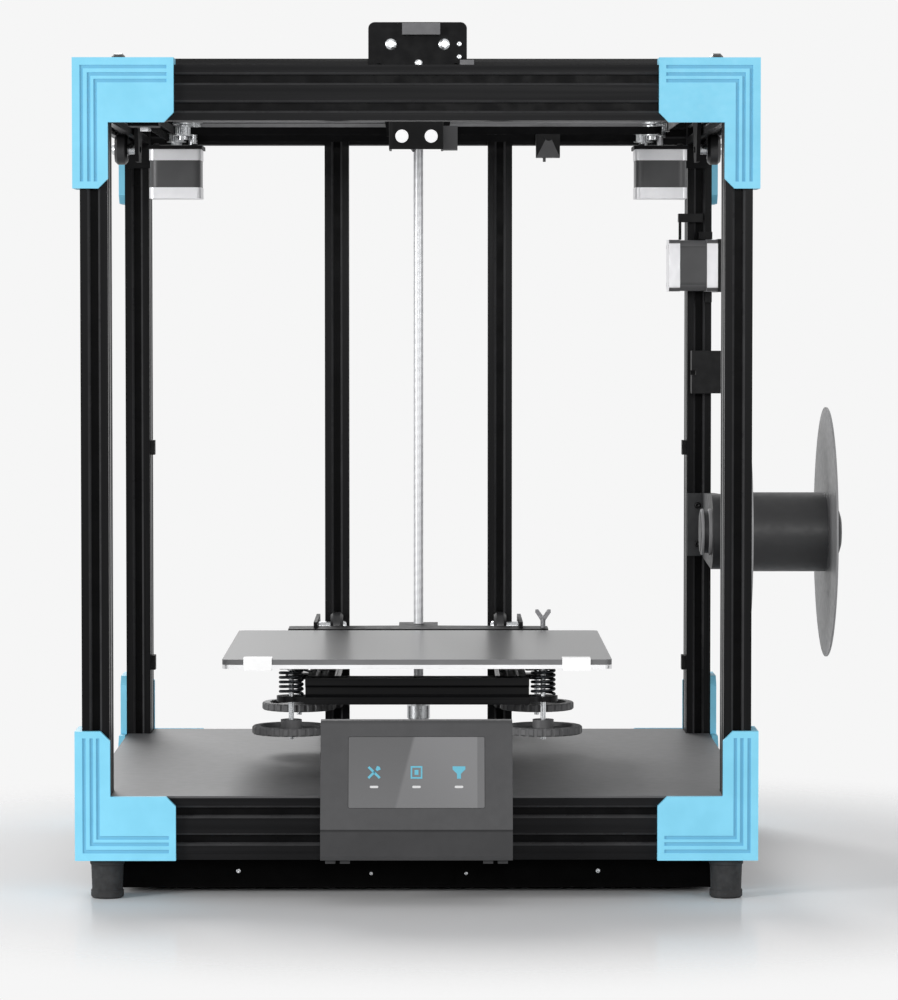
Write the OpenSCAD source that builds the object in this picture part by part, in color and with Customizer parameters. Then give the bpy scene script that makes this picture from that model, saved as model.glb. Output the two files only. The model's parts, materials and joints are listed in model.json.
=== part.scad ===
// Desktop 3-D printer with a slotted-extrusion cube frame, crossed-belt gantry and rising bed.
// Millimetres, +Z up. The modules work from the frame's middle (x), the front faces of the
// front posts (y, growing to the back) and the table (z); place() then moves the origin
// to the middle of the footprint.

/* [Frame] */
// Width over the corner posts
frame_width = 485; // [400:5:600]
// Depth over the corner posts
frame_depth = 485; // [400:5:600]
// Length of the corner posts
frame_height = 570; // [470:5:700]
// Underside of the frame above the table
ground_clearance = 34; // [28:1:40]
// Middle of each upright that guides the bed, from the centre line
bed_upright_offset = 67.5; // [55:0.5:85]

/* [Corner brackets] */
// Wall of the moulded corner brackets
bracket_wall = 5; // [4:0.5:6]
// Leg of a bracket along a beam
bracket_leg = 73; // [60:1:90]
// Leg of a bracket along a post
bracket_rise = 94; // [75:1:115]
// Height of the legs along a beam
bracket_band = 46.5; // [45:0.5:52]

/* [Bed] */
// Width of the print plate
bed_width = 290; // [220:5:320]
// Depth of the print plate
bed_depth = 280; // [230:5:290]
// Top of the print plate above the table, at rest
bed_height = 168; // [150:1:260]
// Middle of the levelling screws, from the centre line
screw_offset = 95; // [92:1:115]
// Diameter of the levelling knobs
knob_diameter = 59; // [44:1:60]

/* [Gantry] */
// Middle of the cross beam behind the front face, at rest
gantry_depth = 275; // [240:5:300]
// Pitch radius of the belt pulleys, 20 teeth of 2 mm
pulley_radius = 6.37; // [6.3:0.01:6.5]
// Width of the toothed belts
belt_width = 6; // [5:0.5:7]

/* [Spool] */
// Diameter of the spool's flanges
spool_diameter = 200; // [160:5:220]
// Distance between the spool's flanges, outside
spool_width = 68; // [55:1:80]

/* [Display] */
// Width of the display housing
display_width = 138; // [120:2:170]
// Lean of the screen from upright, degrees
display_lean = 17; // [10:1:22]

/* [Hidden] */
$fn = 48;

// Standard parts and fits
ext = 20;
slot_mouth = 4.58;
slot_neck = 3.1;
slot_lip = 2.2;
slot_room = 5.5;
motor_side = 42.3;
motor_length = 40;
axle = 2.5;
run_fit = 0.05;
gap = 0.3;
play = 1.5;
sheet = 3;

// Frame faces
hw = frame_width / 2;
inner_x = hw - ext;
rear_y = frame_depth;
rear_post_y = rear_y - 2 * ext;
rear_beam_y = rear_y - ext;
base_z = ground_clearance;
deck_z = base_z + 2 * ext;
top_z = base_z + frame_height;
beam_z = top_z - 2 * ext;
deck_top = deck_z + 1.5;
bracket_x = hw + bracket_wall;
tray_low_z = 4;
tray_front = 36;
tray_rear = rear_post_y - 5;
inlet_x = -60;
switch_x = -98;
inlet_z = (tray_low_z + base_z) / 2;

// Wheels
wheel_radius = 11.95;
wheel_half = 5.1;
wheel_off = 10.75;

// Belts: two planes, one above the other
plane_a = beam_z + 1;
plane_b = plane_a + 9;
belt_in = pulley_radius - 0.07;
belt_out = belt_in + 0.9;
drive_x = hw - 44.5;
idler_x = drive_x - belt_in - belt_out;
drive_y = rear_y - 69;
front_idler_y = 45;
cross_z = top_z - 0.2;
clamp_half = 22;
mount_z = beam_z - 6;

// Bed
bed_rear = rear_y - 125;
bed_front = bed_rear - bed_depth;
plate_low = bed_height - 4;
tray_low = plate_low - 3;
bar_top = bed_height - 17;
bar_z = bar_top - ext;
screw_front = bed_front + 45;
screw_rear = bed_rear - 45;
knob_z = bed_height - 61;
wheel_z = bed_height - 2.5;
wheel_gap = 56;
screw_y = rear_post_y - 5;
side_plate_x = bed_upright_offset + ext / 2 + 5;

// Material path on the right
extruder_z = top_z - 140.5;
sensor_z = extruder_z - 88;
spool_z = sensor_z - 126;
spool_y = rear_post_y - 115;
spool_x = hw + 17.5;
spool_end = spool_x + spool_width + 11;
spool_bore = 16;
gear_x = hw + 5.5;

// Display
display_x = 0;
display_front = -40;
display_low = base_z - 0.5;
display_bend = base_z + 22;
display_high = base_z + 98;
display_top_y = display_front + (display_high - display_bend) * tan(display_lean);

// Moves the finished piece so that the origin is under the middle of the footprint
module place() {
    x_mid = (spool_end - bracket_x) / 2;
    y_mid = (rear_y + bracket_wall + display_front) / 2;
    translate([-x_mid, -y_mid, 0]) children();
}

// Same piece on the left and on the right
module both() {
    children();
    mirror([1, 0, 0]) children();
}

// Same piece at the front and at the back of the frame
module front_and_back() {
    children();
    translate([0, rear_y, 0]) mirror([0, 1, 0]) children();
}

// A piece of the frame's foot, turned over to its top
module at_top() {
    translate([0, 0, base_z + top_z]) mirror([0, 0, 1]) children();
}

// Block between two corners
module block(low, high) {
    translate(low) cube(high - low);
}

// Turns a piece made along z to lie along x or along y
module along_x() {
    rotate([0, 90, 0]) rotate([0, 0, 90]) children();
}

module along_y() {
    rotate([-90, 0, 0]) children();
}

// Outline with its convex and concave corners eased by quarter rounds
module rounded(width, height, radius) {
    union() {
        square([width, height - 2 * radius], center = true);
        square([width - 2 * radius, height], center = true);
        for (x = [-1, 1], y = [-1, 1]) {
            translate([x * (width / 2 - radius), y * (height / 2 - radius)]) circle(radius);
        }
    }
}

// One V-mouthed slot, opening upwards at the origin
module slot() {
    polygon([
        [-slot_mouth - 0.5, 0.5], [-slot_neck, slot_neck - slot_mouth],
        [-slot_neck, -slot_lip], [-slot_room, -slot_lip],
        [-slot_room, -3.4], [-2.8, -6.1],
        [2.8, -6.1], [slot_room, -3.4],
        [slot_room, -slot_lip], [slot_neck, -slot_lip],
        [slot_neck, slot_neck - slot_mouth], [slot_mouth + 0.5, 0.5]
    ]);
}

// Slotted extrusion of across by up modules, centred, running along z from 0
module extrusion(across, up, length) {
    linear_extrude(length) difference() {
        square([across * ext, up * ext], center = true);
        for (i = [0 : across - 1], s = [0, 180]) {
            rotate(s) translate([(i - (across - 1) / 2) * ext, up * ext / 2]) slot();
        }
        for (i = [0 : up - 1], s = [90, 270]) {
            rotate(s) translate([(i - (up - 1) / 2) * ext, across * ext / 2]) slot();
        }
        for (i = [0 : across - 1], j = [0 : up - 1]) {
            translate([(i - (across - 1) / 2) * ext, (j - (up - 1) / 2) * ext]) circle(2.1);
        }
    }
}

// Four uprights at the corners, one module wide and two deep
module corner_posts() {
    color("#26282b") both() front_and_back() {
        translate([hw - ext / 2, ext, base_z]) extrusion(1, 2, frame_height);
    }
}

// One ring of four beams whose underside is at z, standing on edge between the posts
module beam_ring(z) {
    front_and_back() {
        translate([-inner_x, ext / 2, z + ext]) along_x() extrusion(1, 2, 2 * inner_x);
    }
    both() {
        translate([hw - ext / 2, 2 * ext, z + ext]) {
            along_y() extrusion(1, 2, rear_post_y - 2 * ext);
        }
    }
}

// Upper beams, between the heads of the posts
module top_beams() {
    color("#26282b") beam_ring(beam_z);
}

// Lower beams, with the dark cover strip under the front one
module bottom_beams() {
    strip = bracket_x - bracket_leg - gap;
    color("#26282b") {
        beam_ring(base_z);
        block([-strip, 1, base_z - 5], [strip, ext - 1, base_z]);
    }
}

// Two uprights bolted to the rear beams, on which the bed carriage rolls
module bed_uprights() {
    color("#26282b") both() {
        translate([bed_upright_offset, rear_beam_y - ext / 2, base_z]) extrusion(1, 1, frame_height);
    }
}

// Outline of one bracket wall: a leg along the beam and a leg along the post, both with
// their inner end corner cut off
module bracket_outline(leg, rise, width) {
    cut = 7;
    polygon([
        [0, 0], [leg, 0], [leg, bracket_band - cut], [leg - cut, bracket_band],
        [width, bracket_band], [width, rise - cut], [width - cut, rise], [0, rise]
    ]);
}

// The three sunk lines that follow the outer edges of a bracket wall
module bracket_lines(leg, rise) {
    stop = 5;
    line = 2.5;
    for (inset = [5.5, 10.8, 15.5]) {
        polygon([
            [inset, inset], [leg - stop, inset], [leg - stop, inset + line],
            [inset + line, inset + line], [inset + line, rise - stop], [inset, rise - stop]
        ]);
    }
}

// Wall of a bracket, standing in x and z, its outer face at y = 0
module bracket_face(leg, rise, width) {
    sunk = 0.9;
    rotate([90, 0, 0]) translate([0, 0, -bracket_wall]) difference() {
        linear_extrude(bracket_wall) bracket_outline(leg, rise, width);
        translate([0, 0, bracket_wall - sunk]) linear_extrude(1) bracket_lines(leg, rise);
    }
}

// Moulded bracket that caps the lower front right corner: front wall, side wall and floor
module corner_bracket() {
    translate([bracket_x, -bracket_wall, base_z - bracket_wall]) {
        mirror([1, 0, 0]) {
            bracket_face(bracket_leg, bracket_rise, ext + 5.6);
            mirror([1, -1, 0]) bracket_face(bracket_leg, bracket_rise, 2 * ext + 5.6);
            linear_extrude(bracket_wall) polygon([
                [0, 0], [bracket_leg, 0], [bracket_leg, ext + bracket_wall],
                [ext + bracket_wall, ext + bracket_wall],
                [ext + bracket_wall, bracket_leg], [0, bracket_leg]
            ]);
        }
    }
}

// Eight brackets, one on every corner of the frame
module corner_brackets() {
    color("#8ddefc") both() front_and_back() {
        corner_bracket();
        at_top() corner_bracket();
    }
}

// Sheet deck on the lower beams, cut round the corner posts and the bed uprights
module base_plate() {
    side = hw - 1;
    neck = inner_x - gap;
    low = 2 * ext + gap;
    back = rear_post_y - gap;
    notch = ext / 2 + gap;
    color("#83868a") difference() {
        translate([0, 0, deck_z]) linear_extrude(1.5) polygon([
            [-neck, 1], [neck, 1], [neck, low], [side, low], [side, back], [neck, back],
            [neck, rear_y - 2], [-neck, rear_y - 2],
            [-neck, back], [-side, back], [-side, low], [-neck, low]
        ]);
        both() block([bed_upright_offset - notch, back, deck_z - 1],
                     [bed_upright_offset + notch, rear_y, deck_z + 3]);
        translate([0, screw_y, deck_z - 1]) cylinder(r = 11.3, h = 4);
        for (x = [-15.5, 15.5], y = [-15.5, 15.5]) {
            translate([x, screw_y + y, deck_z - 1]) cylinder(r = 1.6, h = 4);
        }
    }
}

// Folded sheet tray for the supply and the board, hung under the beams by its flanges
module electronics_tray() {
    wall = 1.2;
    x = inner_x - 2;
    y0 = tray_front;
    y1 = tray_rear;
    low = tray_low_z;
    flange_y = bracket_leg + 3;
    color("#2b2d30") {
        difference() {
            block([-x, y0, low], [x, y1, base_z]);
            block([-x + wall, y0 + wall, low + wall], [x - wall, y1 - wall, base_z + 1]);
            for (i = [-4 : 4], j = [0 : 5]) {
                translate([i * 12, 150 + j * 24, low - 1]) linear_extrude(4) rounded(4, 18, 1.9);
            }
            inlet_cut();
        }
        both() block([x - 0.1, flange_y, base_z - wall], [hw - 3, rear_y - flange_y, base_z]);
        block([-140, y1 - 0.1, base_z - wall], [140, rear_y - 4, base_z]);
        block([-27, y0 - 1, low + 2], [27, y0 + 0.1, base_z - 3]);
    }
}

// Cut in the tray's rear wall for the mains inlet and the rocker
module inlet_cut() {
    translate([0, tray_rear - 3, inlet_z]) rotate([-90, 0, 0]) linear_extrude(6) {
        translate([inlet_x, 0]) rounded(27, 19.6, 2);
        translate([switch_x, 0]) rounded(19, 13, 1);
    }
}

// Moulded inlet with its recess and three flat pins, and the rocker's bezel beside it
module power_inlet() {
    color("#18191b") translate([0, tray_rear, inlet_z]) rotate([-90, 0, 0]) {
        translate([inlet_x, 0]) {
            difference() {
                union() {
                    linear_extrude(3) rounded(31, 23, 3);
                    translate([0, 0, -18]) linear_extrude(19) rounded(26.4, 19, 2);
                }
                translate([0, 0, -15]) linear_extrude(20) rounded(24.2, 16.4, 4);
            }
            for (x = [-7, 0, 7]) {
                translate([x - 1, -2 - (x == 0 ? 2 : 0), -16]) cube([2, 4, 14]);
            }
        }
        translate([switch_x, 0]) difference() {
            union() {
                linear_extrude(2) rounded(22, 16, 2);
                translate([0, 0, -12]) linear_extrude(13) rounded(18.4, 12.4, 0.8);
            }
            translate([0, 0, -9]) linear_extrude(20) rounded(16.6, 10.4, 0.4);
        }
    }
}

// Rocker of the mains switch, tipped to its off side
module power_switch() {
    tip = 7;
    color("#c23a32") translate([switch_x, tray_rear + 0.5, inlet_z - 4.9]) rotate([0, 0, tip]) {
        linear_extrude(9.8) polygon([[-7.3, -2.4], [7.3, -2.4], [7.9, 2.2], [0, 1], [-7.9, 2.2]]);
    }
}

// Four turned rubber feet under the lower brackets
module feet() {
    rise = base_z - bracket_wall;
    color("#1a1b1c") both() front_and_back() translate([hw - 17, 14, 0]) {
        rotate_extrude() polygon([
            [0, 0], [10.6, 0], [12, 1.4], [12, 5.5], [11.2, 6.5],
            [11.8, rise - 5], [12.6, rise - 4], [12.6, rise], [0, rise]
        ]);
    }
}

// Moulded display housing: an upright back on the front beam, a leaning face above a plinth
module display_housing() {
    half = display_width / 2;
    color("#5b5c5e") difference() {
        translate([display_x - half, 0, 0]) along_x_plane(display_width) polygon([
            [0, base_z + 1], [0, deck_z - 1], [-3, deck_z + 1], [-3, display_high - 3],
            [-5, display_high], [display_top_y + 2, display_high], [display_top_y, display_high - 2],
            [display_front, display_bend], [display_front, display_low + 3],
            [display_front + 3, display_low], [-8, display_low], [-4, base_z + 1]
        ]);
        translate([display_x, 0, 0]) screen_place() {
            translate([0, 0, -2.2]) linear_extrude(4) rounded(98.4, 52.4, 1.2);
        }
    }
    color("#5b5c5e") for (side = [-1, 1], across = [display_width / 2 - 7, display_width / 2 - 17.5]) {
        translate([display_x + side * across - 3.6, display_front + 8, display_low - 3]) cube([7.2, 9, 4]);
    }
}

// Extrudes an outline drawn in y and z along x
module along_x_plane(length) {
    rotate([90, 0, 90]) linear_extrude(length) children();
}

// Middle of the screen on the leaning face, with z pointing out of it
module screen_place() {
    along = (display_high - display_bend) / cos(display_lean);
    translate([0, display_front, display_bend]) rotate([90 - display_lean, 0, 0]) {
        translate([0, along * 0.525, 0]) children();
    }
}

// Glass of the touch screen in its recess
module display_screen() {
    color("#7b7f84") translate([display_x, 0, 0]) screen_place() {
        translate([0, 0, -2.2]) linear_extrude(1.9) rounded(97.8, 51.8, 1);
    }
}

// Stepper motor with its shaft face at z = 0, hanging below it
module stepper(length, shaft) {
    cap = 9;
    color("#c9ccce") {
        for (z = [-cap, -length]) {
            translate([0, 0, z]) linear_extrude(cap) difference() {
                rounded(motor_side, motor_side, 4.2);
                for (x = [-15.5, 15.5], y = [-15.5, 15.5]) translate([x, y]) circle(1.5);
            }
        }
        cylinder(r = 11, h = 1.9);
        cylinder(r = axle, h = shaft);
    }
    color("#1d1e20") translate([0, 0, cap - length]) linear_extrude(length - 2 * cap) {
        rounded(motor_side - 0.8, motor_side - 0.8, 7);
    }
}

// Motors of the two belts, the bed screw and the extruder
module stepper_motors() {
    both() translate([drive_x, drive_y, mount_z]) stepper(motor_length, 25);
    translate([0, screw_y, deck_z]) stepper(motor_length - 0.2, 12);
    translate([gear_x - sheet, rear_post_y - motor_side / 2 - gap, extruder_z]) {
        along_x() stepper(motor_length, 20);
    }
}

// Folded plates that hang the belt motors on the rear posts and carry the rear idlers
module motor_mounts() {
    half = motor_side / 2 + 1;
    flange = rear_post_y - sheet;
    color("#1b1c1e") {
        both() {
            difference() {
                union() {
                    block([drive_x - half, drive_y - half, mount_z],
                          [drive_x + half, rear_post_y, mount_z + sheet]);
                    block([drive_x + 4, flange, mount_z - 14], [hw - 3, rear_post_y, mount_z + sheet]);
                }
                translate([drive_x, drive_y, mount_z - 1]) cylinder(r = 11.3, h = 6);
                for (x = [-15.5, 15.5], y = [-15.5, 15.5]) {
                    translate([drive_x + x, drive_y + y, mount_z - 1]) cylinder(r = 1.7, h = 6);
                }
            }
        }
        translate([idler_x, drive_y, mount_z + sheet]) idler_stud(plane_a);
        translate([-idler_x, drive_y, mount_z + sheet]) idler_stud(plane_b);
        screw_bearing();
    }
}

// Shouldered stud for an idler in the plane that starts at z, standing on z = 0
module idler_stud(z) {
    low = z - 0.8 - gap - mount_z - sheet;
    cylinder(r = 3.6, h = low);
    cylinder(r = axle, h = low + belt_width + 2.2 + gap);
    translate([0, 0, low + belt_width + 2.2]) cylinder(r = 3.6, h = 2);
}

// Bearing block on the rear top beam that steadies the upper end of the bed screw
module screw_bearing() {
    half = 15;
    translate([0, 0, beam_z + 8]) difference() {
        linear_extrude(13) union() {
            translate([0, screw_y]) circle(half);
            translate([-half, screw_y]) square([2 * half, rear_beam_y - screw_y]);
            translate([-26, rear_beam_y - 6]) square([52, 6]);
        }
        translate([0, screw_y, -1]) cylinder(r = 4 + run_fit, h = 16);
    }
}

// Toothed pulley or idler in the plane that starts at z = 0, with a flange above and below
module pulley(hub) {
    teeth = 20;
    rim = 8;
    core = belt_in - gap;
    difference() {
        union() {
            for (z = [-0.8, belt_width]) translate([0, 0, z]) cylinder(r = rim, h = 0.8);
            cylinder(r = core, h = belt_width);
            if (hub > 0) translate([0, 0, -0.8 - hub]) cylinder(r = 4.6, h = hub);
        }
        translate([0, 0, -20]) cylinder(r = axle + run_fit, h = 40);
        for (i = [0 : teeth - 1]) {
            rotate(i * 360 / teeth) translate([core + 0.2, 0, 0.1]) {
                cylinder(r = 0.7, h = belt_width - 0.2, $fn = 16);
            }
        }
    }
}

module motor_pulley_left() {
    color("#c4c7c9") translate([-drive_x, drive_y, plane_a]) pulley(2.4);
}

module motor_pulley_right() {
    color("#c4c7c9") translate([drive_x, drive_y, plane_b]) pulley(5);
}

module front_idler_left() {
    color("#c4c7c9") translate([-drive_x, front_idler_y, plane_a]) pulley(0);
}

module front_idler_right() {
    color("#c4c7c9") translate([drive_x, front_idler_y, plane_b]) pulley(0);
}

module rear_idler_left() {
    color("#c4c7c9") translate([-idler_x, drive_y, plane_b]) pulley(0);
}

module rear_idler_right() {
    color("#c4c7c9") translate([idler_x, drive_y, plane_a]) pulley(0);
}

module gantry_idler_left_low() {
    color("#c4c7c9") translate([-idler_x, gantry_depth, plane_a]) pulley(0);
}

module gantry_idler_left_high() {
    color("#c4c7c9") translate([-idler_x, gantry_depth, plane_b]) pulley(0);
}

module gantry_idler_right_low() {
    color("#c4c7c9") translate([idler_x, gantry_depth, plane_a]) pulley(0);
}

module gantry_idler_right_high() {
    color("#c4c7c9") translate([idler_x, gantry_depth, plane_b]) pulley(0);
}

// Belt bent round a pulley at the origin, from one angle to another, as a quarter or half ring
module belt_bend(from, to) {
    rotate(from) rotate_extrude(angle = to - from) translate([belt_in, 0]) {
        square([belt_out - belt_in, belt_width]);
    }
}

// Straight belt along y with its toothed side at distance belt_in from x = 0
module belt_y(y0, y1) {
    block([belt_in, y0, 0], [belt_out, y1, belt_width]);
}

// Straight belt along x with its toothed side at distance belt_in from y = 0
module belt_x(x0, x1) {
    block([x0, belt_in, 0], [x1, belt_out, belt_width]);
}

// Fixed part of one belt, drawn for the one that the right motor drives: round the front
// idler, along the outside, round the motor pulley and along the back to the far idler
module frame_belt() {
    translate([drive_x, front_idler_y, 0]) belt_bend(180, 360);
    translate([drive_x, 0, 0]) belt_y(front_idler_y, drive_y);
    translate([drive_x, drive_y, 0]) belt_bend(0, 90);
    translate([0, drive_y, 0]) belt_x(-idler_x, drive_x);
    translate([-idler_x, drive_y, 0]) belt_bend(90, 180);
}

// Both belts where they stand still along the frame
module frame_belts() {
    color("#141516") {
        translate([0, 0, plane_b]) frame_belt();
        translate([0, 0, plane_a]) mirror([1, 0, 0]) frame_belt();
    }
}

// Runs of one belt that lengthen and shorten as the gantry moves to the front or back
module side_runs() {
    translate([drive_x, 0, 0]) mirror([1, 0, 0]) belt_y(front_idler_y + gap, gantry_depth - gap);
    translate([-idler_x, 0, 0]) mirror([1, 0, 0]) belt_y(gantry_depth + gap, drive_y - gap);
}

module side_belt_runs() {
    color("#141516") {
        translate([0, 0, plane_b]) side_runs();
        translate([0, 0, plane_a]) mirror([1, 0, 0]) side_runs();
    }
}

// Runs of one belt along the cross beam, with the bends round its idlers
module cross_runs() {
    translate([idler_x, gantry_depth, 0]) belt_bend(0, 90);
    translate([0, gantry_depth, 0]) belt_x(clamp_half + gap, idler_x);
    translate([0, gantry_depth, 0]) mirror([0, 1, 0]) belt_x(-idler_x, -clamp_half - gap);
    translate([-idler_x, gantry_depth, 0]) belt_bend(180, 270);
}

module cross_belt_runs() {
    color("#141516") {
        translate([0, 0, plane_b]) cross_runs();
        translate([0, 0, plane_a]) mirror([1, 0, 0]) cross_runs();
    }
}

// Forked brackets behind the front beam, each with the bolt of one front idler
module idler_brackets() {
    color("#1b1c1e") {
        idler_fork(drive_x, plane_b);
        idler_fork(-drive_x, plane_a);
    }
}

module idler_fork(x, plane) {
    low = plane - 0.8 - gap - 3;
    high = plane + belt_width + 0.8 + gap;
    half = 11;
    for (z = [low, high]) {
        translate([x, front_idler_y, z]) linear_extrude(3) union() {
            circle(half);
            translate([-half, ext - front_idler_y]) square([2 * half, front_idler_y - ext]);
        }
    }
    block([x - half, ext, low], [x + half, ext + 4, high + 3]);
    translate([x, front_idler_y, low - 2]) cylinder(r = axle, h = high - low + 7);
    translate([x, front_idler_y, high + 3]) cylinder(r = 4.5, h = 3);
    translate([x, front_idler_y, low - 3]) cylinder(r = 4, h = 3.1, $fn = 6);
}

// Wheel with a V rim, two bearings and a bore, its axle along z
module v_wheel() {
    rotate_extrude() polygon([
        [axle + run_fit, -wheel_half], [4, -wheel_half], [4, -4.6], [7.2, -4.6],
        [8, -wheel_half], [9.8, -wheel_half], [wheel_radius, -2.95],
        [wheel_radius, 2.95], [9.8, wheel_half], [8, wheel_half],
        [7.2, 4.6], [4, 4.6], [4, wheel_half], [axle + run_fit, wheel_half]
    ]);
}

// Two wheels of one axis, on the left and right top beams
module gantry_wheel_pair(y, z) {
    color("#2f3032") both() translate([hw - ext / 2, y, z]) along_x() v_wheel();
}

module gantry_wheels_front() {
    gantry_wheel_pair(gantry_depth - 30, top_z + wheel_off);
}

module gantry_wheels_rear() {
    gantry_wheel_pair(gantry_depth + 30, top_z + wheel_off);
}

module gantry_wheels_lower() {
    gantry_wheel_pair(gantry_depth, beam_z - wheel_off);
}

// Bolt of a wheel: spacer on the plate at z = 0, shank through the wheel, button head
module wheel_bolt(reach) {
    shank = reach + wheel_half + gap;
    cylinder(r = 4, h = reach - wheel_half - gap);
    translate([0, 0, -4]) cylinder(r = axle, h = shank + 4);
    translate([0, 0, shank]) rotate_extrude() {
        polygon([[0, 0], [4.7, 0], [4, 1.6], [2.4, 2.5], [0, 2.7]]);
    }
}

// Cross beam between the gantry plates
module cross_beam() {
    length = 2 * (inner_x - play - sheet);
    color("#26282b") translate([-length / 2, gantry_depth, cross_z + ext / 2]) {
        along_x() extrusion(1, 1, length);
    }
}

// End plates of the cross beam with their wheel bolts, and the shelves that carry the idlers
module gantry_plates() {
    face = inner_x - play;
    reach = hw - ext / 2 - face;
    low = beam_z - wheel_off - 10;
    high = top_z + wheel_off + 7;
    shelf = cross_z - sheet;
    color("#1d1e20") both() {
        difference() {
            translate([face - sheet, gantry_depth, 0]) along_x_plane(sheet) polygon([
                [-14, low], [14, low], [43, top_z], [43, high - 6], [37, high],
                [-37, high], [-43, high - 6], [-43, top_z]
            ]);
            for (y = [-1, 1]) {
                translate([face - sheet - 1, gantry_depth + y * 18, beam_z + 26]) {
                    along_x() linear_extrude(6) rounded(14, 9, 4);
                }
            }
        }
        for (y = [-30, 30]) {
            translate([face, gantry_depth + y, top_z + wheel_off]) along_x() wheel_bolt(reach);
        }
        translate([face, gantry_depth, beam_z - wheel_off]) along_x() wheel_bolt(reach);
        translate([0, gantry_depth, shelf]) linear_extrude(sheet) union() {
            translate([idler_x, 0]) circle(13);
            translate([idler_x, -13]) square([face - sheet - idler_x, 26]);
        }
        translate([idler_x, gantry_depth, plane_b + belt_width + 0.8 + gap]) {
            cylinder(r = 3.6, h = shelf - plane_b - belt_width - 0.8 - gap);
        }
        translate([idler_x, gantry_depth, plane_a - 3]) cylinder(r = axle, h = shelf - plane_a + 3);
        translate([idler_x, gantry_depth, plane_a - 0.8 - gap - 3]) cylinder(r = 4.5, h = 3);
    }
}

// Carriage plate in front of the cross beam, with its wheel bolts, belt clamp and plug
module carriage_plate() {
    rear = gantry_depth - 14;
    high = cross_z + 48;
    mid = cross_z + 7;
    low = plane_a - 2;
    plate_half = 38.5;
    color("#232426") {
        translate([0, rear, 0]) rotate([90, 0, 0]) linear_extrude(sheet) difference() {
            union() {
                translate([0, (high + mid - 5) / 2]) rounded(2 * plate_half, high - mid + 5, 5);
                polygon([
                    [-plate_half, mid], [-plate_half + 12, cross_z - 22], [-clamp_half - 2, low],
                    [clamp_half + 2, low], [plate_half - 12, cross_z - 22], [plate_half, mid]
                ]);
            }
            for (x = [-1, 1]) translate([x * 30, cross_z + 9]) rounded(5, 14, 2.4);
        }
        for (x = [-20.8, 20.8]) translate([x, rear, cross_z + ext + wheel_off]) carriage_bolt();
        translate([0, rear, cross_z - wheel_off]) carriage_bolt();
        difference() {
            block([-clamp_half, rear - 1, low],
                  [clamp_half, gantry_depth + 13, plane_b + belt_width + 0.6]);
            for (y = [-9.5, 9.5]) {
                translate([0, gantry_depth + y, low - 1]) cylinder(r = 1.7, h = 30);
            }
        }
    }
    color("#8f9296") {
        block([-12, rear - sheet - 7, high - 10], [17.6, rear - sheet, high - 1]);
        block([33, rear - sheet - 3, cross_z + 14.6], [44, rear - sheet, cross_z + 18.6]);
        translate([0.8, rear - sheet, cross_z + 16.1]) along_y() rotate_extrude() {
            polygon([[0, 0], [2.9, 0], [2.9, -0.8], [1.8, -1.6], [0, -1.7]]);
        }
    }
}

// Wheel bolt put in from the front, its bright button head on the plate's front face
module carriage_bolt() {
    along_y() {
        wheel_bolt(14);
        translate([0, 0, -sheet]) rotate_extrude() {
            polygon([[0, 0], [4.75, 0], [4.2, -1.6], [2.6, -2.5], [0, -2.7]]);
        }
    }
}

module carriage_wheel(x, z) {
    color("#2f3032") translate([x, gantry_depth, z]) along_y() v_wheel();
}

module carriage_wheel_left() {
    carriage_wheel(-20.8, cross_z + ext + wheel_off);
}

module carriage_wheel_right() {
    carriage_wheel(20.8, cross_z + ext + wheel_off);
}

module carriage_wheel_lower() {
    carriage_wheel(0, cross_z - wheel_off);
}

// Finned heat sink on its clamp, heater block and nozzle
module hot_end() {
    tip = beam_z - 14;
    y = gantry_depth - 37;
    back = gantry_depth - 14 - sheet;
    color("#b9bcbf") {
        translate([-3, y, tip]) rotate_extrude() polygon([
            [0, 0], [0.8, 0], [3, 3], [3, 5], [2, 5], [2, 18],
            for (z = [18 : 3 : 36]) each [[3.5, z], [10.5, z], [10.5, z + 1.2], [3.5, z + 1.2]],
            [6, 39], [6, 46], [0, 46]
        ]);
        block([-11, y - 8, tip + 4.9], [12, y + 8, tip + 15.5]);
        difference() {
            block([-12, y - 6, tip + 39], [6, back, tip + 45]);
            translate([0, back - 3.2, cross_z - wheel_off]) along_y() cylinder(r = 5.4, h = 5);
        }
    }
}

// Moulded hood over the hot end: open below and behind, fan opening on the left
module fan_shroud() {
    front = gantry_depth - 60;
    back = gantry_depth - 14 - sheet;
    low = beam_z - 12.7;
    high = cross_z - 4;
    x0 = -22;
    x1 = 20;
    wall = 1.8;
    color("#1f2022") {
        difference() {
            translate([(x0 + x1) / 2, (front + back) / 2 + 2, low]) linear_extrude(high - low) {
                intersection() {
                    rounded(x1 - x0, back - front + 4, 4);
                    translate([-50, -50]) square([100, 50 + (back - front) / 2 - 2]);
                }
            }
            block([x0 + wall, front + wall, low - 1], [x1 - wall, back + 1, high - wall]);
            translate([x0 - 1, front + 23, low + 27]) along_x() cylinder(r = 16, h = 4);
            for (i = [0 : 3]) {
                block([x1 - 4, front + 8, low + 24 + 6 * i], [x1 + 1, back - 8, low + 27 + 6 * i]);
            }
        }
        translate([x0, front + 23, low + 27]) along_x() fan_grille(wall);
    }
    color("#d4d6d8") for (x = [-12, 10.6]) {
        translate([x, front - 1.6, low + 10]) along_y() cylinder(r = 5, h = 1.7);
    }
    color("#c9cbcd") block([x1 - 0.1, front + 12, low], [x1 + 11, front + 30, low + 18.5]);
}

// Spokes and ring of the guard across the fan opening
module fan_grille(depth) {
    linear_extrude(depth) union() {
        difference() {
            circle(9.5);
            circle(8);
        }
        for (a = [0 : 45 : 179]) rotate(a) difference() {
            square([34, 1.6], center = true);
            circle(8.8);
        }
    }
}

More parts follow.
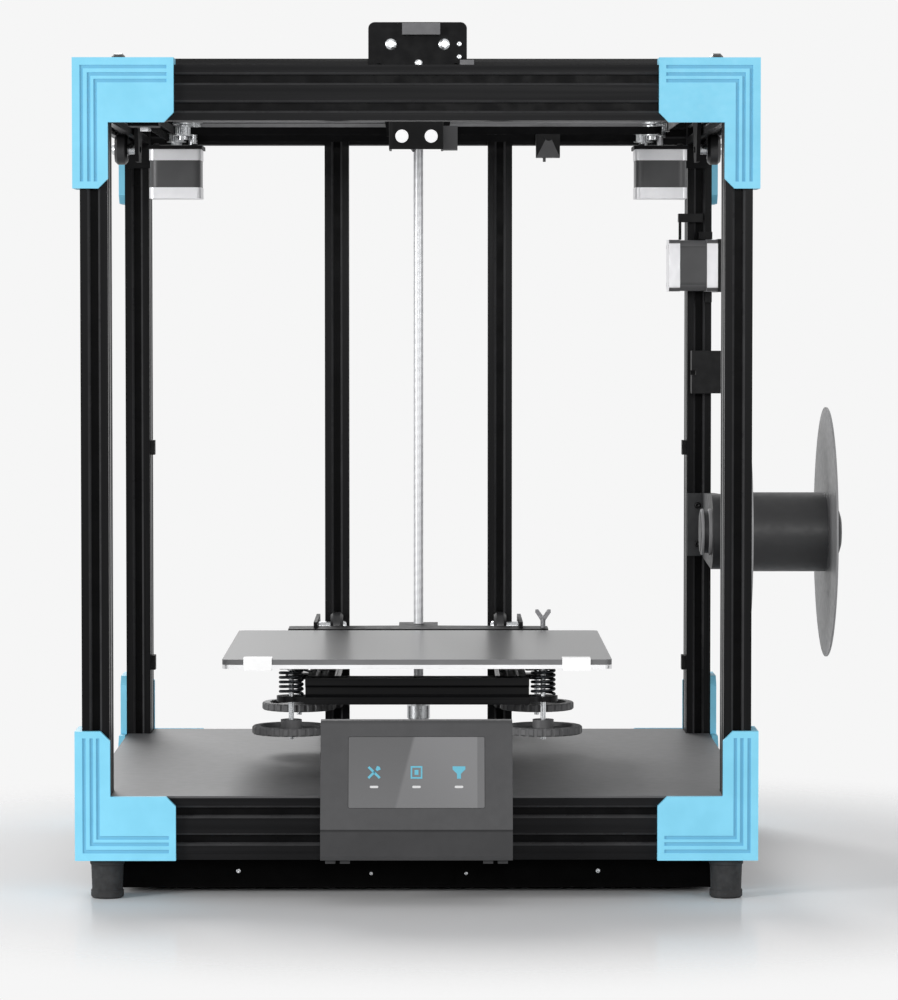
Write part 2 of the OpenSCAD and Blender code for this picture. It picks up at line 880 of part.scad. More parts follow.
// Cross bar and two arms of slotted extrusion, with the seats of the levelling springs
module bed_frame() {
    arm_x = side_plate_x - ext / 2;
    seat = bar_z + 2;
    color("#232426") {
        translate([-screw_offset + 10.7, screw_front, bar_z + ext / 2]) {
            along_x() extrusion(1, 1, 2 * screw_offset - 21.4);
        }
        both() {
            translate([arm_x, screw_front + ext / 2, bar_z + ext / 2]) {
                along_y() extrusion(1, 1, rear_post_y - 27 - screw_front - ext / 2);
            }
            for (y = [screw_front, screw_rear]) translate([0, y, seat]) difference() {
                linear_extrude(4) union() {
                    translate([screw_offset, 0]) circle(11);
                    translate([arm_x + 4, -9]) square([screw_offset - arm_x - 4, 18]);
                }
                translate([screw_offset, 0, -1]) cylinder(r = 2.4, h = 6);
            }
        }
    }
}

// Carriage of the bed: two side plates with wheel bolts, a cross plate and the screw's nut
module bed_carriage() {
    reach = side_plate_x - bed_upright_offset;
    front = bed_rear + 20;
    cross = bed_height - 3.9;
    color("#1d1e20") {
        both() {
            translate([side_plate_x, rear_post_y, 0]) along_x_plane(sheet) polygon([
                [-58, bar_z - 2], [-58, bed_height + 3], [-56, bed_height + 4.5], [36, bed_height + 4.5],
                [42, bed_height], [42, wheel_z - 48], [24, wheel_z - 68], [-22, wheel_z - 68],
                [-36, bar_z - 2]
            ]);
            for (p = [[-wheel_off, 0], [-wheel_off, -wheel_gap], [ext + wheel_off, -wheel_gap / 2]]) {
                translate([side_plate_x, rear_post_y + p[0], wheel_z + p[1]]) {
                    mirror([1, 0, 0]) along_x() wheel_bolt(reach);
                }
            }
        }
        difference() {
            union() {
                translate([0, 0, cross]) linear_extrude(3.4) polygon([
                    [-106, front], [106, front], [106, front + 32], [16, front + 38],
                    [16, screw_y + 15], [-16, screw_y + 15], [-16, front + 38], [-106, front + 32]
                ]);
                translate([0, screw_y, cross - 12]) cylinder(r = 11, h = 13);
            }
            translate([0, screw_y, cross - 20]) cylinder(r = 4 + run_fit, h = 40);
        }
    }
    color("#c9cbcd") translate([102, front + 14, cross + 3]) {
        cylinder(r = 2, h = 8);
        translate([0, 1, 0]) rotate([90, 0, 0]) linear_extrude(2) polygon([
            [-1.8, 6], [1.8, 6], [6.4, 13], [6.2, 15.4], [3.8, 15.4],
            [0, 10], [-3.8, 15.4], [-6.2, 15.4], [-6.4, 13]
        ]);
    }
}

module bed_wheel_pair(y, z) {
    color("#2f3032") both() translate([bed_upright_offset, y, z]) along_x() v_wheel();
}

module bed_wheels_upper() {
    bed_wheel_pair(rear_post_y - wheel_off, wheel_z);
}

module bed_wheels_lower() {
    bed_wheel_pair(rear_post_y - wheel_off, wheel_z - wheel_gap);
}

module bed_wheels_rear() {
    bed_wheel_pair(rear_beam_y + wheel_off, wheel_z - wheel_gap / 2);
}

// Plate-shaped outline of the bed
module bed_outline() {
    translate([0, (bed_front + bed_rear) / 2]) rounded(bed_width, bed_depth, 5);
}

// Heated aluminium plate with the four long screws that hang from it
module bed_plate() {
    color("#dadcde") {
        translate([0, 0, tray_low]) linear_extrude(3) bed_outline();
        both() for (y = [screw_front, screw_rear]) {
            translate([screw_offset, y, knob_z - 3]) cylinder(r = 2, h = tray_low - knob_z + 4);
        }
    }
}

// Removable print plate
module print_plate() {
    color("#8b8e92") translate([0, 0, plate_low]) linear_extrude(4) bed_outline();
}

// Folded clips over the front edge of both plates
module plate_clips() {
    thick = 1.1;
    color("#d9dbdd") both() translate([bed_width / 2 - 37, bed_front, 0]) along_x_plane(21) polygon([
        [12, bed_height], [12, bed_height + thick], [-thick, bed_height + thick],
        [-thick, tray_low - thick], [9, tray_low - thick], [9, tray_low],
        [0, tray_low], [0, bed_height]
    ]);
}

// Levelling knob: knurled ring, thin web and hub round the screw
module knob(x, y) {
    radius = knob_diameter / 2;
    notches = 28;
    color("#222325") translate([x, y, knob_z]) difference() {
        rotate_extrude() polygon([
            [2 + run_fit, 0], [8, 0], [8, 2.4], [radius - 8, 2.4], [radius - 8, 1.5], [radius - 1, 1.5],
            [radius, 2.5], [radius, 6.5], [radius - 1, 7.5], [radius - 6, 7.5],
            [radius - 8, 5], [8, 5], [8, 12], [2 + run_fit, 12]
        ]);
        for (i = [0 : notches - 1]) rotate(i * 360 / notches) translate([radius + 0.9, 0, -1]) {
            cylinder(r = 2, h = 14, $fn = 16);
        }
    }
}

module knob_front_left() {
    knob(-screw_offset, screw_front);
}

module knob_front_right() {
    knob(screw_offset, screw_front);
}

module knob_rear_left() {
    knob(-screw_offset, screw_rear);
}

module knob_rear_right() {
    knob(screw_offset, screw_rear);
}

// Centre line of a levelling spring: a helix whose last stretches run straight
spring_radius = 8.4;
spring_wire = 1.1;
spring_turns = 6;
spring_rings = 8;
spring_low = bar_z + 6 + spring_wire + 0.1;
spring_high = tray_low - spring_wire - 0.1;
spring_steps = spring_turns * spring_rings;

function spring_point(i) =
    let (a = 360 * i / spring_rings)
    [
        spring_radius * cos(a), spring_radius * sin(a),
        spring_low + (spring_high - spring_low) * i / spring_steps
    ];

function unit(v) = v / norm(v);

spring_path = [
    spring_point(0) - unit(spring_point(1) - spring_point(0)) * 2 * spring_wire,
    for (i = [0 : spring_steps]) spring_point(i),
    spring_point(spring_steps) +
        unit(spring_point(spring_steps) - spring_point(spring_steps - 1)) * 2 * spring_wire
];

// Ring of six points round point i of a path
function tube_ring(path, i, r) =
    let (
        n = len(path) - 1,
        t = unit(path[min(i + 1, n)] - path[max(i - 1, 0)]),
        u = unit(cross(t, [0, 0, 1])),
        v = cross(u, t)
    )
    [for (k = [0 : 5]) path[i] + r * (u * cos(60 * k) + v * sin(60 * k))];

// One unbroken tube along a path, its faces triangles
module tube(path, r) {
    n = len(path);
    side = [
        for (i = [0 : n - 2], k = [0 : 5])
            let (a = i * 6 + k, b = i * 6 + (k + 1) % 6)
                each [[a, b, a + 6], [b, b + 6, a + 6]]
    ];
    low_cap = [for (k = [1 : 4]) [0, k + 1, k]];
    high_cap = [for (k = [1 : 4]) [0, k, k + 1] + [1, 1, 1] * (n - 1) * 6];
    polyhedron([for (i = [0 : n - 1]) each tube_ring(path, i, r)], concat(side, low_cap, high_cap));
}

// Least gap of the spring to itself, between points a turn or so apart
spring_gap = min([
    for (i = [0 : len(spring_path) - 1], j = [i + 5 : 1 : len(spring_path) - 1])
        norm(spring_path[i] - spring_path[j])
]) - 2 * spring_wire;
echo(levelling_spring_least_gap = spring_gap);

// Four wire springs between the seats of the bed frame and the heated plate
module levelling_springs() {
    color("#3a3c3f") for (x = [-1, 1], y = [screw_front, screw_rear]) {
        translate([x * screw_offset, y, 0]) tube(spring_path, spring_wire);
    }
}

// Screw that lifts the bed, with the coupling on the motor's shaft
module lead_screw() {
    low = deck_top + 0.7;
    color("#c9cbcd") translate([0, screw_y, 0]) {
        difference() {
            rotate_extrude() polygon([
                [0, low], [8.8, low], [9.5, low + 0.7], [9.5, low + 11], [8.8, low + 11.4],
                [8.8, low + 12.6], [9.5, low + 13], [9.5, low + 23.5], [8.8, low + 24.2], [0, low + 24.2]
            ]);
            translate([0, 0, low - 1]) cylinder(r = axle + run_fit, h = 12);
        }
        translate([0, 0, low + 24]) cylinder(r = 4, h = beam_z + 24 - low - 24);
    }
}

// Middle of the extruder's motor
module extruder_place() {
    translate([0, rear_post_y - motor_side / 2 - gap, extruder_z]) children();
}

// Bracket on the outside of the rear post, and the moulded body with its filament guides
module extruder_body() {
    half = motor_side / 2 + 0.5;
    plate = gear_x - sheet;
    guide = 6.6;
    color("#1c1d1f") extruder_place() {
        difference() {
            union() {
                block([plate, -half, -half], [gear_x, 54, half]);
                block([hw, 28, -15], [plate + 1, 54, 15]);
            }
            translate([plate - 1, 0, 0]) along_x() cylinder(r = 11.3, h = 6);
        }
        difference() {
            union() {
                translate([gear_x, 0, 0]) along_x() linear_extrude(3.2) {
                    rounded(motor_side, motor_side, 4);
                }
                block([gear_x + 3, -guide - 2.4, 13], [gear_x + 15, 20, 21]);
                block([gear_x + 3, -guide - 2.4, -21], [gear_x + 15, 20, -12]);
                block([gear_x + 3, 10, -13], [gear_x + 15, 20, 14]);
            }
            translate([gear_x - 1, 0, 0]) along_x() cylinder(r = 7, h = 20);
            translate([gear_x + 9, -guide, -40]) cylinder(r = 1.2, h = 80);
        }
        translate([gear_x + 3, -15, -16.5]) along_x() cylinder(r = 2.5, h = 14);
    }
    color("#1c1d1f") {
        translate([hw - 26.7, rear_post_y - 9, extruder_z + 21.5]) cylinder(r = 1.2, h = 15);
        block([hw - 28, rear_post_y - 12, extruder_z + 36], [hw - 8, rear_post_y, extruder_z + 43]);
        block([hw - 11, rear_post_y - 14, extruder_z + 22], [hw - 0.3, rear_post_y, extruder_z + 28]);
        block([hw - 6, rear_post_y - 10, extruder_z - 30], [hw - 0.3, rear_post_y, extruder_z - 21.6]);
    }
    color("#c8a24a") extruder_place() translate([gear_x + 9, -guide, 21]) difference() {
        union() {
            cylinder(r = 4.8, h = 5, $fn = 6);
            cylinder(r = 4, h = 11);
        }
        translate([0, 0, -1]) cylinder(r = 1.2, h = 14);
    }
}

// Toothed drive gear on the extruder motor's shaft
module drive_gear() {
    teeth = 22;
    color("#c8a24a") extruder_place() translate([gear_x + 4, 0, 0]) along_x() difference() {
        cylinder(r = 5.6, h = 12);
        translate([0, 0, -1]) cylinder(r = axle + run_fit, h = 14);
        for (i = [0 : teeth - 1]) rotate(i * 360 / teeth) translate([5.9, 0, 3]) {
            cylinder(r = 0.5, h = 4, $fn = 16);
        }
    }
}

// Sprung lever with the roller that presses the filament on the gear
module extruder_lever() {
    roller = -12;
    color("#2a2b2d") extruder_place() translate([gear_x + 4, 0, 0]) {
        difference() {
            along_x_plane(9.5) union() {
                translate([-15, -16.5]) circle(5);
                polygon([
                    [-20, -16.5], [-11, -14], [-11, 10], [-14, 25],
                    [-20, 34], [-24, 34], [-22, 22], [-20, 8]
                ]);
                translate([roller, 0]) circle(5);
            }
            translate([-1, -15, -16.5]) along_x() cylinder(r = axle + run_fit, h = 14);
            translate([3, roller - 4.6 - gap, -5]) cube([4, 12, 10]);
        }
        translate([3.3, roller, 0]) along_x() cylinder(r = 4.6, h = 3.4);
    }
}

// Filament switch on the rear post, and the bed's limit switch under the rear top beam
module sensors() {
    stop_x = 106;
    stop_y = bed_rear + 50;
    stop_low = beam_z - 12.5;
    color("#1a1b1d") {
        difference() {
            block([hw - 17.5, rear_post_y - 22, sensor_z - 17], [hw + 7.5, rear_post_y, sensor_z + 18]);
            translate([hw - 5, rear_post_y - 12, sensor_z - 30]) cylinder(r = 2.2, h = 60);
            block([hw - 18, rear_post_y - 23, sensor_z - 2], [hw - 14, rear_post_y - 6, sensor_z + 2]);
        }
        block([stop_x - 9.7, stop_y - 8, stop_low], [stop_x + 9.7, stop_y + 8, beam_z + 9]);
        block([stop_x - 6, stop_y, beam_z - 2.5], [stop_x + 6, rear_y - 2, beam_z]);
        translate([stop_x + 0.5, stop_y - 9.2, beam_z + 4.5]) along_y() cylinder(r = 3.4, h = 2);
        translate([stop_x - 3, stop_y - 3, stop_low - 3.4]) cylinder(r = 1.2, h = 5);
    }
}

// Bracket on the rear post: foot plate, tapering arm, clamping nut and the spool's hub
module spool_holder() {
    arm = hw + 0.5;
    bore = spool_bore - run_fit;
    cap = spool_x + spool_width + 1;
    color("#202123") {
        block([hw - 19.5, rear_post_y - 4, spool_z - 26], [arm, rear_post_y, spool_z + 26]);
        translate([arm - 8, 0, 0]) along_x_plane(10) union() {
            polygon([
                [rear_post_y, spool_z - 26], [rear_post_y, spool_z + 26],
                [spool_y, spool_z + 30], [spool_y, spool_z - 30]
            ]);
            translate([spool_y, spool_z]) circle(30);
        }
        translate([0, spool_y, spool_z]) along_x() rotate_extrude() polygon([
            [0, arm - 17], [16, arm - 17], [18.5, arm - 16], [18.5, arm - 14.4], [17, arm - 14],
            [17, arm - 10.5], [18.5, arm - 10], [18.5, arm - 7.5], [0, arm - 7.5]
        ]);
        translate([0, spool_y, spool_z]) along_x() rotate_extrude() polygon([
            [0, arm + 1], [33, arm + 1], [33, spool_x - 3], [31, spool_x - 1],
            [bore, spool_x - 1], [bore, cap], [19, cap], [20, cap + 1],
            [20, spool_end - 5], [17, spool_end - 1.5], [12, spool_end], [0, spool_end]
        ]);
    }
}

// Empty spool: two pierced flanges on a hollow core
module spool() {
    rim = spool_diameter / 2;
    core = 31.75;
    flange = 1.6;
    color("#6d7073") translate([spool_x, spool_y, spool_z]) along_x() rotate_extrude() polygon([
        [spool_bore, 0], [rim - 0.5, 0], [rim, 0.5], [rim, flange], [core, flange],
        [core, spool_width - flange], [rim, spool_width - flange], [rim, spool_width - 0.5],
        [rim - 0.5, spool_width], [spool_bore, spool_width], [spool_bore, spool_width - 4],
        [core - 2, spool_width - 4], [core - 2, 4], [spool_bore, 4]
    ]);
}

// Small clips on the rear posts that hold side panels when they are fitted
module panel_clips() {
    color("#1a1b1d") both() for (z = [base_z + 100, base_z + 279]) {
        translate([inner_x - 3.5, rear_post_y + 12, z]) difference() {
            block([0, -6, -6], [3.5, 6, 6]);
            block([-1, -2, -7], [1.8, 2, 7]);
        }
    }
}

place() corner_posts();
place() top_beams();
place() bottom_beams();
place() bed_uprights();
place() corner_brackets();
place() base_plate();
place() electronics_tray();
place() power_inlet();
place() power_switch();
place() feet();
place() display_housing();
place() display_screen();
place() stepper_motors();
place() motor_mounts();
place() idler_brackets();
place() frame_belts();
place() side_belt_runs();
place() sensors();
place() extruder_body();
place() extruder_lever();
place() drive_gear();
place() spool_holder();
place() spool();
place() panel_clips();
place() cross_beam();
place() gantry_plates();
place() cross_belt_runs();
place() carriage_plate();
place() hot_end();
place() fan_shroud();
place() bed_frame();
place() bed_carriage();
place() bed_plate();
place() print_plate();
place() plate_clips();
place() levelling_springs();
place() knob_front_left();
place() knob_front_right();
place() knob_rear_left();
place() knob_rear_right();
place() lead_screw();
place() gantry_wheels_front();
place() gantry_wheels_rear();
place() gantry_wheels_lower();
place() bed_wheels_upper();
place() bed_wheels_lower();
place() bed_wheels_rear();
place() carriage_wheel_left();
place() carriage_wheel_right();
place() carriage_wheel_lower();
place() motor_pulley_left();
place() motor_pulley_right();
place() front_idler_left();
place() front_idler_right();
place() rear_idler_left();
place() rear_idler_right();
place() gantry_idler_left_low();
place() gantry_idler_left_high();
place() gantry_idler_right_low();
place() gantry_idler_right_high();
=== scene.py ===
"""Looks of a desktop 3-D printer: open cube frame, belt gantry, rising bed, tilted screen and side spool."""
import bpy
import bmesh
import json
import math
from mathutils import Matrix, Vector


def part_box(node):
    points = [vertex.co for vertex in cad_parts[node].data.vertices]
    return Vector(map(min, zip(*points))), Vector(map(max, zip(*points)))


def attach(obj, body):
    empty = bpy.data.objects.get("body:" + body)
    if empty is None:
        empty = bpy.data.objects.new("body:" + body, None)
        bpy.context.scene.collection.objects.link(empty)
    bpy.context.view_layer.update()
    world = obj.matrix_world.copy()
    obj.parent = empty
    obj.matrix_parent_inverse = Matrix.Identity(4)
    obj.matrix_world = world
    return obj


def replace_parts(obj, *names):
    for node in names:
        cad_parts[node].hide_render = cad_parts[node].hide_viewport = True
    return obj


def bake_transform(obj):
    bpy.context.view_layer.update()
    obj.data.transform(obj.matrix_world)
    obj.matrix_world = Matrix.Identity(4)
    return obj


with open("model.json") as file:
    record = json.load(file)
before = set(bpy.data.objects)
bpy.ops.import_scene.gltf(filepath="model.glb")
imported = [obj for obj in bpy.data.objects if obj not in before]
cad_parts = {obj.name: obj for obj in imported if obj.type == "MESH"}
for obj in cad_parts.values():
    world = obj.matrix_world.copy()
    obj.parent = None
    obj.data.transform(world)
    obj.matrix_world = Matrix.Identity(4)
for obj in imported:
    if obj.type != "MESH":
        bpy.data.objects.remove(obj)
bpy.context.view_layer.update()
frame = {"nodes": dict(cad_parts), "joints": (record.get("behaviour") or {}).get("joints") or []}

NODES = frame["nodes"]

# The frame: black anodised slotted extrusions, sawn square and bolted from inside.
# Corner posts, both rings of beams, the bed's uprights, the cross beam and the bed's arms share one finish:
# fine lines drawn along the bar. The sloped lips of the slots are coloured paler as a painted highlight, and
# the floors of the slots in the posts, uprights and rings darker as painted shade.


class Sock:
    """A shader socket with arithmetic; Sock.node adds any node and returns its first output."""

    tree = None

    def __init__(self, socket):
        self.socket = socket

    @classmethod
    def node(cls, kind, out=0, inputs=(), **settings):
        made = cls.tree.nodes.new(kind)
        for key, value in settings.items():
            setattr(made, key, value)
        for key, value in dict(inputs).items():
            if isinstance(value, Sock):
                cls.tree.links.new(value.socket, made.inputs[key])
            else:
                made.inputs[key].default_value = value
        return cls(made.outputs[out])

    def math(self, operation, *others):
        inputs = dict(enumerate((self,) + others))
        return Sock.node("ShaderNodeMath", inputs=inputs, operation=operation)

    def __add__(self, other):
        return self.math("ADD", other)

    def __sub__(self, other):
        return self.math("SUBTRACT", other)

    def __rsub__(self, other):
        return (self * -1.0) + other

    def __mul__(self, other):
        return self.math("MULTIPLY", other)

    def __truediv__(self, other):
        return self.math("DIVIDE", other)

    def ramp(self, low, high, start=0.0, end=1.0):
        inputs = {"Value": self, "From Min": low, "From Max": high, "To Min": start, "To Max": end}
        return Sock.node("ShaderNodeMapRange", inputs=inputs, interpolation_type="SMOOTHSTEP")

    def mix(self, first, second):
        made = Sock.tree.nodes.new("ShaderNodeMix")
        made.data_type = "RGBA"
        Sock.tree.links.new(self.socket, made.inputs[0])
        for slot, value in ((6, first), (7, second)):
            if isinstance(value, Sock):
                Sock.tree.links.new(value.socket, made.inputs[slot])
            else:
                made.inputs[slot].default_value = value
        return Sock(made.outputs[2])


def linear(red, green, blue):
    """sRGB 0 to 255 as a linear colour."""
    return tuple(((v / 255 + 0.055) / 1.055) ** 2.4 for v in (red, green, blue)) + (1.0,)


def place():
    """Object coordinates, in metres of the shared frame."""
    return Sock.node("ShaderNodeTexCoord", out="Object")


def axis(vector, letter):
    return Sock.node("ShaderNodeSeparateXYZ", out=letter, inputs={0: vector})


def noise(scale, stretch=(1, 1, 1), detail=3.0):
    """Cloud noise on object coordinates, between about 0.3 and 0.7."""
    vector = Sock.node("ShaderNodeVectorMath", inputs={0: place(), 1: stretch}, operation="MULTIPLY")
    return Sock.node("ShaderNodeTexNoise", inputs={"Vector": vector, "Scale": scale, "Detail": detail})


def mottle(scale, dark, light):
    """Colour that drifts between two sRGB tones."""
    return lambda: noise(scale).ramp(0.3, 0.7).mix(linear(*dark), linear(*light))


def sheen(scale, low, high, stretch=(1, 1, 1)):
    """Roughness that drifts between two values."""
    return lambda: noise(scale, stretch).ramp(0.3, 0.7, low, high)


def material(name, colour, roughness, metallic=0.0, bump=None, **values):
    """A Principled material; colour and roughness may be sockets, bump a height and its depth."""
    made = bpy.data.materials.new(name)
    made.use_nodes = True
    Sock.tree = made.node_tree
    shader = made.node_tree.nodes["Principled BSDF"]
    shader.inputs["Metallic"].default_value = metallic
    values = {key.replace("_", " "): value for key, value in values.items()}
    for key, value in {"Base Color": colour, "Roughness": roughness, **values}.items():
        value = value() if callable(value) else value
        if isinstance(value, Sock):
            made.node_tree.links.new(value.socket, shader.inputs[key])
        else:
            shader.inputs[key].default_value = value
    if bump:
        height, depth = bump
        normal = Sock.node("ShaderNodeBump", inputs={"Height": height(), "Strength": 0.5, "Distance": depth})
        made.node_tree.links.new(normal.socket, shader.inputs["Normal"])
    return made


def paint(node, base, *rules):
    """Gives a CAD node its material; each rule is a material and a test on a face's middle and normal."""
    mesh = NODES[node].data
    mesh.materials.clear()
    for made in (base,) + tuple(rule[0] for rule in rules):
        mesh.materials.append(made)
    for face in mesh.polygons:
        face.material_index = 0
        for number, (_, test) in enumerate(rules, 1):
            if test(face.center, face.normal):
                face.material_index = number


def anodised(name, stretch, tone=14, shine=0.12):
    """Black anodising with extrusion lines along the axis whose stretch is small."""
    dark, light = (tone, tone, tone + 1), (tone + 6, tone + 6, tone + 7)
    return material(
        name,
        lambda: noise(60, stretch).ramp(0.35, 0.65).mix(linear(*dark), linear(*light)),
        sheen(90, 0.26, 0.36, stretch),
        bump=(lambda: noise(140, stretch), 0.000012),
        Specular_IOR_Level=shine,
    )


ANODISED_X = anodised("anodised_along_x", (0.03, 4, 4))
BEAM_X = anodised("beams_along_x", (0.03, 4, 4), 25, 0.04)
BEAM_Y = anodised("beams_along_y", (4, 0.03, 4), 25, 0.04)
ANODISED_Z = anodised("anodised_along_z", (4, 4, 0.03), 14, 0.08)
# Painted highlight: the sloped lips of the slots are coloured paler than the bar.
PAINTED_LIP_HIGHLIGHT = anodised("slot_lips_painted_highlight", (1, 1, 1), 56)
# Painted shade: the floors of the slots are coloured darker than the bar.
PAINTED_SLOT_SHADE = anodised("slot_floors_painted_shade", (1, 1, 1), 10, 0.04)
POST_LOW, POST_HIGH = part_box("corner_posts")
POST_HALF = (POST_HIGH.x - POST_LOW.x) / 2
FRAME_MID = (POST_HIGH + POST_LOW) / 2
EXTRUSION = 0.020
SLOT_SINK = 0.0015
HAIR = 0.0001  # slack where a face is compared with a plane


def on_side_beam(middle, normal):
    return abs(middle.x - FRAME_MID.x) > POST_HALF - EXTRUSION - 2 * HAIR and abs(normal.y) < 0.9


def on_lip(middle, normal):
    """True on the sloped lips of the slots, which are coloured paler as a painted highlight."""
    return sorted(abs(part) for part in normal)[1] > 0.3


def in_slot(node, *widths):
    """Test for faces sunk below every outer plane of a node's bars, given their widths along x, y and z."""
    low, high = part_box(node)

    def test(middle, normal):
        k = max(range(3), key=lambda n: abs(normal[n]))
        planes = (low[k], low[k] + widths[k], high[k] - widths[k], high[k])
        return min(abs(middle[k] - plane) for plane in planes) > SLOT_SINK

    return test


for post, deep in (("corner_posts", 2 * EXTRUSION), ("bed_uprights", EXTRUSION)):
    paint(post, ANODISED_Z, (PAINTED_SLOT_SHADE, in_slot(post, EXTRUSION, deep, 0)), (PAINTED_LIP_HIGHLIGHT, on_lip))
for ring in ("top_beams", "bottom_beams"):
    sunk = in_slot(ring, EXTRUSION, EXTRUSION, 2 * EXTRUSION)
    paint(ring, BEAM_X, (BEAM_Y, on_side_beam), (PAINTED_SLOT_SHADE, sunk), (PAINTED_LIP_HIGHLIGHT, on_lip))
paint("cross_beam", ANODISED_X, (PAINTED_LIP_HIGHLIGHT, on_lip))
paint("bed_frame", ANODISED_X)

# The eight corner brackets: light blue plastic, injection moulded, pushed over the corners.
# The skin has a fine spark texture, and the sunk lines are part of the moulding; their floors are coloured a
# darker blue as painted shade.

BLUE_PLASTIC = material(
    "blue_moulding",
    mottle(35, (129, 212, 241), (136, 219, 248)),
    sheen(220, 0.42, 0.54),
    bump=(lambda: noise(900, detail=1.0), 0.00006),
)
# Painted shade: the floors of the sunk lines are a darker blue than the skin.
PAINTED_GROOVE_SHADE = material("blue_sunk_lines_painted_shade", mottle(35, (108, 184, 216), (113, 189, 221)), sheen(220, 0.5, 0.6))
BRACKET_LOW, BRACKET_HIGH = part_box("corner_brackets")
SUNK = 0.0009


def in_sunk_line(middle, normal):
    """True on the floor of a line, a little inside one of the four outer faces; these floors get the painted
    shade.
    """
    for k in (0, 1):
        inside = min(middle[k] - BRACKET_LOW[k], BRACKET_HIGH[k] - middle[k])
        if abs(normal[k]) > 0.9 and abs(inside - SUNK) < HAIR:
            return True
    return False


paint("corner_brackets", BLUE_PLASTIC, (PAINTED_GROOVE_SHADE, in_sunk_line))

# The base: a grey powder-coated deck on the lower beams, the black folded tray hung below it
# and four moulded rubber feet. The deck and the tray are sheet metal, screwed from outside.


def powder_coat(name, dark, light, rough=(0.42, 0.56), **values):
    """Baked powder: slightly mottled colour under a fine orange peel."""
    return material(
        name,
        mottle(18, dark, light),
        sheen(120, *rough),
        bump=(lambda: noise(520, detail=1.5), 0.00005),
        **values,
    )


GREY_POWDER = powder_coat(
    "grey_powder_coat", (92, 92, 93), (95, 95, 96), (0.47, 0.5), Specular_IOR_Level=0.28
)
BLACK_POWDER = powder_coat("black_powder_coat", (14, 14, 15), (18, 18, 19), Specular_IOR_Level=0.1)
# Painted shade: the tray's black is darker and duller than the other black powder coat, standing in for the
# shade under the deck.
TRAY_BLACK_PAINTED_SHADE = powder_coat("tray_powder_coat_painted_shade", (3, 3, 3), (4, 4, 4), (0.6, 0.7), Specular_IOR_Level=0.03)
RUBBER = material(
    "foot_rubber",
    mottle(90, (34, 34, 35), (46, 46, 47)),
    sheen(300, 0.7, 0.85),
    bump=(lambda: noise(700), 0.00012),
)
paint("base_plate", GREY_POWDER)
paint("electronics_tray", TRAY_BLACK_PAINTED_SHADE)
paint("feet", RUBBER)


def finish_piece(name, mesh, body, *materials, smooth=True):
    """Puts a finished mesh in the scene at the origin, riding on its body."""
    mesh.name = name
    mesh.materials.clear()
    for made in materials:
        mesh.materials.append(made)
    for face in mesh.polygons:
        face.use_smooth = smooth
    piece = bpy.data.objects.new(name, mesh)
    bpy.context.scene.collection.objects.link(piece)
    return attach(piece, body)


def mesh_of(shape):
    """A bmesh as a mesh, its doubles merged and its faces turned outwards."""
    bmesh.ops.remove_doubles(shape, verts=shape.verts, dist=1e-7)
    bmesh.ops.recalc_face_normals(shape, faces=shape.faces)
    mesh = bpy.data.meshes.new("shape")
    shape.to_mesh(mesh)
    shape.free()
    return mesh


def turned(shape, profile, steps, reach):
    """Adds a turned form about z; reach(radius, angle) bends the round into another outline."""
    rings = []
    for step in range(steps):
        angle = 2 * math.pi * step / steps
        ring = []
        for radius, height in profile:
            r = reach(radius, angle)
            ring.append(shape.verts.new((r * math.cos(angle), r * math.sin(angle), height)))
        rings.append(ring)
    for step in range(steps):
        here, there = rings[step], rings[(step + 1) % steps]
        for k in range(len(profile) - 1):
            shape.faces.new((here[k], there[k], there[k + 1], here[k + 1]))
    return shape


def button_head(radius, height):
    """Domed screw head with a six-sided socket, standing on z = 0."""
    key = radius * 0.52
    sink = height * 0.35
    half_side = math.pi / 6

    def reach(r, angle):
        turn = (angle + half_side) % (2 * half_side) - half_side
        return r if r > key * 1.01 or r < 1e-6 else r * math.cos(half_side) / math.cos(turn)

    profile = [
        (radius, 0), (radius, height * 0.3), (radius * 0.88, height * 0.72), (radius * 0.68, height),
        (key * 1.05, height), (key, height * 0.97), (key, sink), (0.0, sink),
    ]
    return mesh_of(turned(bmesh.new(), profile, 36, reach))


def node_tree(name, inputs, output, nodes, links):
    """A geometry tree from its named inputs and output, its nodes with their settings, and its links."""
    tree = bpy.data.node_groups.new(name, "GeometryNodeTree")
    for key, kind in inputs.items():
        tree.interface.new_socket(key, in_out="INPUT", socket_type="NodeSocket" + kind)
    tree.interface.new_socket(output, in_out="OUTPUT", socket_type="NodeSocketGeometry")
    for key, (kind, settings) in nodes.items():
        made = tree.nodes.new(kind)
        made.name = key
        for setting, value in settings.items():
            setattr(made, setting, value)
    for source, target in links:
        (giver, outlet), (taker, inlet) = source.split("."), target.split(".")
        tree.links.new(tree.nodes[giver].outputs[outlet], tree.nodes[taker].inputs[inlet])
    return tree


def baked(tree, source, **values):
    """Runs a geometry tree on a source mesh, with its named inputs set, and returns the plain mesh."""
    holder = bpy.data.objects.new("holder", source)
    bpy.context.scene.collection.objects.link(holder)
    modifier = holder.modifiers.new("grow", "NODES")
    modifier.node_group = tree
    for item in tree.interface.items_tree:
        if item.in_out == "INPUT" and item.name in values:
            modifier[item.identifier] = values[item.name]
    depsgraph = bpy.context.evaluated_depsgraph_get()
    mesh = bpy.data.meshes.new_from_object(holder.evaluated_get(depsgraph), depsgraph=depsgraph)
    bpy.data.objects.remove(holder)
    return mesh


